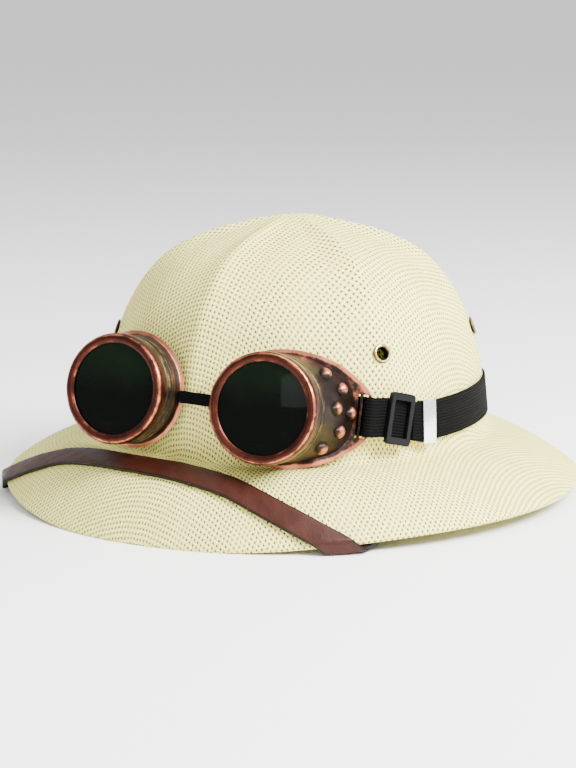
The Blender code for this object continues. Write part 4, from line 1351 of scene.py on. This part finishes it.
def route_frame(rows, travel, start=8):
    """Frame on the strap at a travel from its lug: X along it, Y across it, Z outwards.

    The travel is counted from the start-th row, the last one on the lug.
    """
    for (here, up), (ahead, _) in zip(rows[start:], rows[start + 1:]):
        step = (ahead - here).length
        if travel <= step:
            along = (ahead - here).normalized()
            out = along.cross(up).normalized()
            axes = Matrix((along, out.cross(along), out)).transposed().to_4x4()
            return Matrix.Translation(here + along * travel) @ axes
        travel -= step
    return Matrix()


route = strap_route()
elastic = strap_piece("ribbed_elastic_strap", route, ELASTIC_WIDTH, ELASTIC_THICKNESS, STRAP_CELLS)
webbing = webbing_material("ribbed_elastic", ELASTIC_RIB, ELASTIC_BLACK, ELASTIC_THREAD)
finish_piece(elastic, webbing, "elastic", "elastic_strap")

# Strap tail: the elastic's free end, turned back outside itself. It lies on the strap from
# just behind the slider to inside the clip.
SLIDER_LENGTH = 17.5 * MM
SLIDER_PLACE = 16 * MM
CLIP_LENGTH = 8.5 * MM
CLIP_PLACE = 37 * MM
TAIL_STEPS = 6
TAIL_LIFT = ELASTIC_THICKNESS + GAP

first = SLIDER_PLACE + SLIDER_LENGTH / 2 + 5 * GAP
final = CLIP_PLACE + CLIP_LENGTH / 2 - MM
rows = []
for step in range(TAIL_STEPS + 1):
    place = route_frame(route, first + (final - first) * step / TAIL_STEPS)
    rows.append((place @ Vector((0, 0, TAIL_LIFT)), place.to_3x3() @ Vector((0, 1, 0))))
tail = strap_piece("elastic_tail", rows, ELASTIC_WIDTH, ELASTIC_THICKNESS, STRAP_CELLS)
finish_piece(tail, webbing, "elastic", "strap_tail")

# Slider: a moulded frame of black plastic with rounded corners, which takes up the strap's
# slack. It lies on the outside of the strap just behind the lug.
SLIDER_THICKNESS = 2 * MM
SLIDER_BAR = 3 * MM
SLIDER_ROUND = 0.45 * MM
SLIDER_CORNER = 2.4 * MM
PLASTIC_DARK = (0.0015, 0.0015, 0.0020, 1)
PLASTIC_LIGHT = (0.0050, 0.0050, 0.0060, 1)
PLASTIC_GRAIN = 1500.0
PLASTIC_RELIEF = 0.04 * MM


def frame_plate(name, size, window, thickness, edge, corner=0.0):
    """A plate inset from its rim, its middle taken out, thickened and given soft edges."""
    deselect()
    bpy.ops.mesh.primitive_plane_add(size=1)
    piece = bpy.context.object
    piece.name = name
    piece.data.transform(Matrix.Diagonal((*size, 1, 1)))
    edit_all(piece)
    bpy.ops.mesh.inset(thickness=min(size) * 0.1)
    bpy.ops.mesh.delete(type="FACE")
    end_edit()
    for vertex in piece.data.vertices:
        if abs(vertex.co.x) < size[0] / 2 - WELD:
            vertex.co.x = window[0] / 2 * (1 if vertex.co.x > 0 else -1)
            vertex.co.y = window[1] / 2 * (1 if vertex.co.y > 0 else -1)
    if corner:
        for vertex in piece.data.vertices:
            vertex.select = abs(vertex.co.x) > size[0] / 2 - WELD
        bpy.ops.object.mode_set(mode="EDIT")
        bpy.ops.mesh.select_mode(type="VERT")
        bpy.ops.mesh.bevel(offset=corner, segments=4, affect="VERTICES")
        end_edit()
    apply_modifier(piece, "SOLIDIFY", thickness=thickness, offset=0)
    apply_modifier(piece, "BEVEL", width=edge, segments=3, limit_method="ANGLE")
    return piece


def plastic_material():
    """Black moulded plastic with a fine sparkle of texture and a satin shine."""
    material, tree, shader = new_material("black_plastic", (0.012, 0.012, 0.013), 0.34)
    grain = noise(tree, object_place(tree), PLASTIC_GRAIN, 2.0)
    set_inputs(tree, shader, {
        "Base Color": blend_colour(tree, grain, PLASTIC_DARK, PLASTIC_LIGHT),
        "Roughness": ramp(tree, grain, 0.3, 0.7, 0.28, 0.42), "Specular IOR Level": 0.09})
    add_bump(tree, shader, grain, PLASTIC_RELIEF, 0.4)
    return material


tall = ELASTIC_WIDTH + 2 * (GAP + SLIDER_BAR)
slider = frame_plate("slider_frame", (SLIDER_LENGTH, tall),
                     (SLIDER_LENGTH - 2 * SLIDER_BAR, ELASTIC_WIDTH - 3 * GAP),
                     SLIDER_THICKNESS, SLIDER_ROUND, SLIDER_CORNER)
above = ELASTIC_THICKNESS / 2 + 2 * GAP + SLIDER_THICKNESS / 2
slider.data.transform(route_frame(route, SLIDER_PLACE) @ Matrix.Translation((0, 0, above)))
smooth_piece(slider)
finish_piece(slider, plastic_material(), "black_plastic", "slider")

# Clip: a strip of bright plated sheet folded round the strap and its free end, so that the
# end can't slip back through the slider.
CLIP_ROUND = 0.3 * MM
BRUSHED_SCALE = (200.0, 200.0, 3000.0)
STEEL_DARK = (0.88, 0.88, 0.89, 1)
STEEL_LIGHT = (0.98, 0.98, 0.98, 1)


def steel_material():
    """Bright plated sheet with a faint brushed grain."""
    material, tree, shader = new_material("bright_steel", (0.92, 0.92, 0.93), 0.3, 0.85)
    place = add_node(tree, "ShaderNodeMapping",
                     {"Vector": object_place(tree), "Scale": BRUSHED_SCALE})
    grain = noise(tree, place.outputs[0], 1.0, 2.0)
    set_inputs(tree, shader, {"Base Color": blend_colour(tree, grain, STEEL_DARK, STEEL_LIGHT),
                              "Roughness": ramp(tree, grain, 0.3, 0.7, 0.16, 0.30)})
    return material


tall = 2 * ELASTIC_THICKNESS + 5 * GAP + 2 * CLIP_SHEET
wide = ELASTIC_WIDTH + 2 * (2 * GAP + CLIP_SHEET)
clip = frame_plate("end_clip_sheet", (wide, tall), (wide - 2 * CLIP_SHEET, tall - 2 * CLIP_SHEET),
                   CLIP_LENGTH, CLIP_ROUND)
quarter = Matrix(((0, 0, 1, 0), (1, 0, 0, 0), (0, 1, 0, 0), (0, 0, 0, 1)))
lift = Matrix.Translation((0, 0, (ELASTIC_THICKNESS + GAP) / 2))
clip.data.transform(route_frame(route, CLIP_PLACE) @ lift @ quarter)
smooth_piece(clip)
finish_piece(clip, steel_material(), "bright_steel", "end_clip")
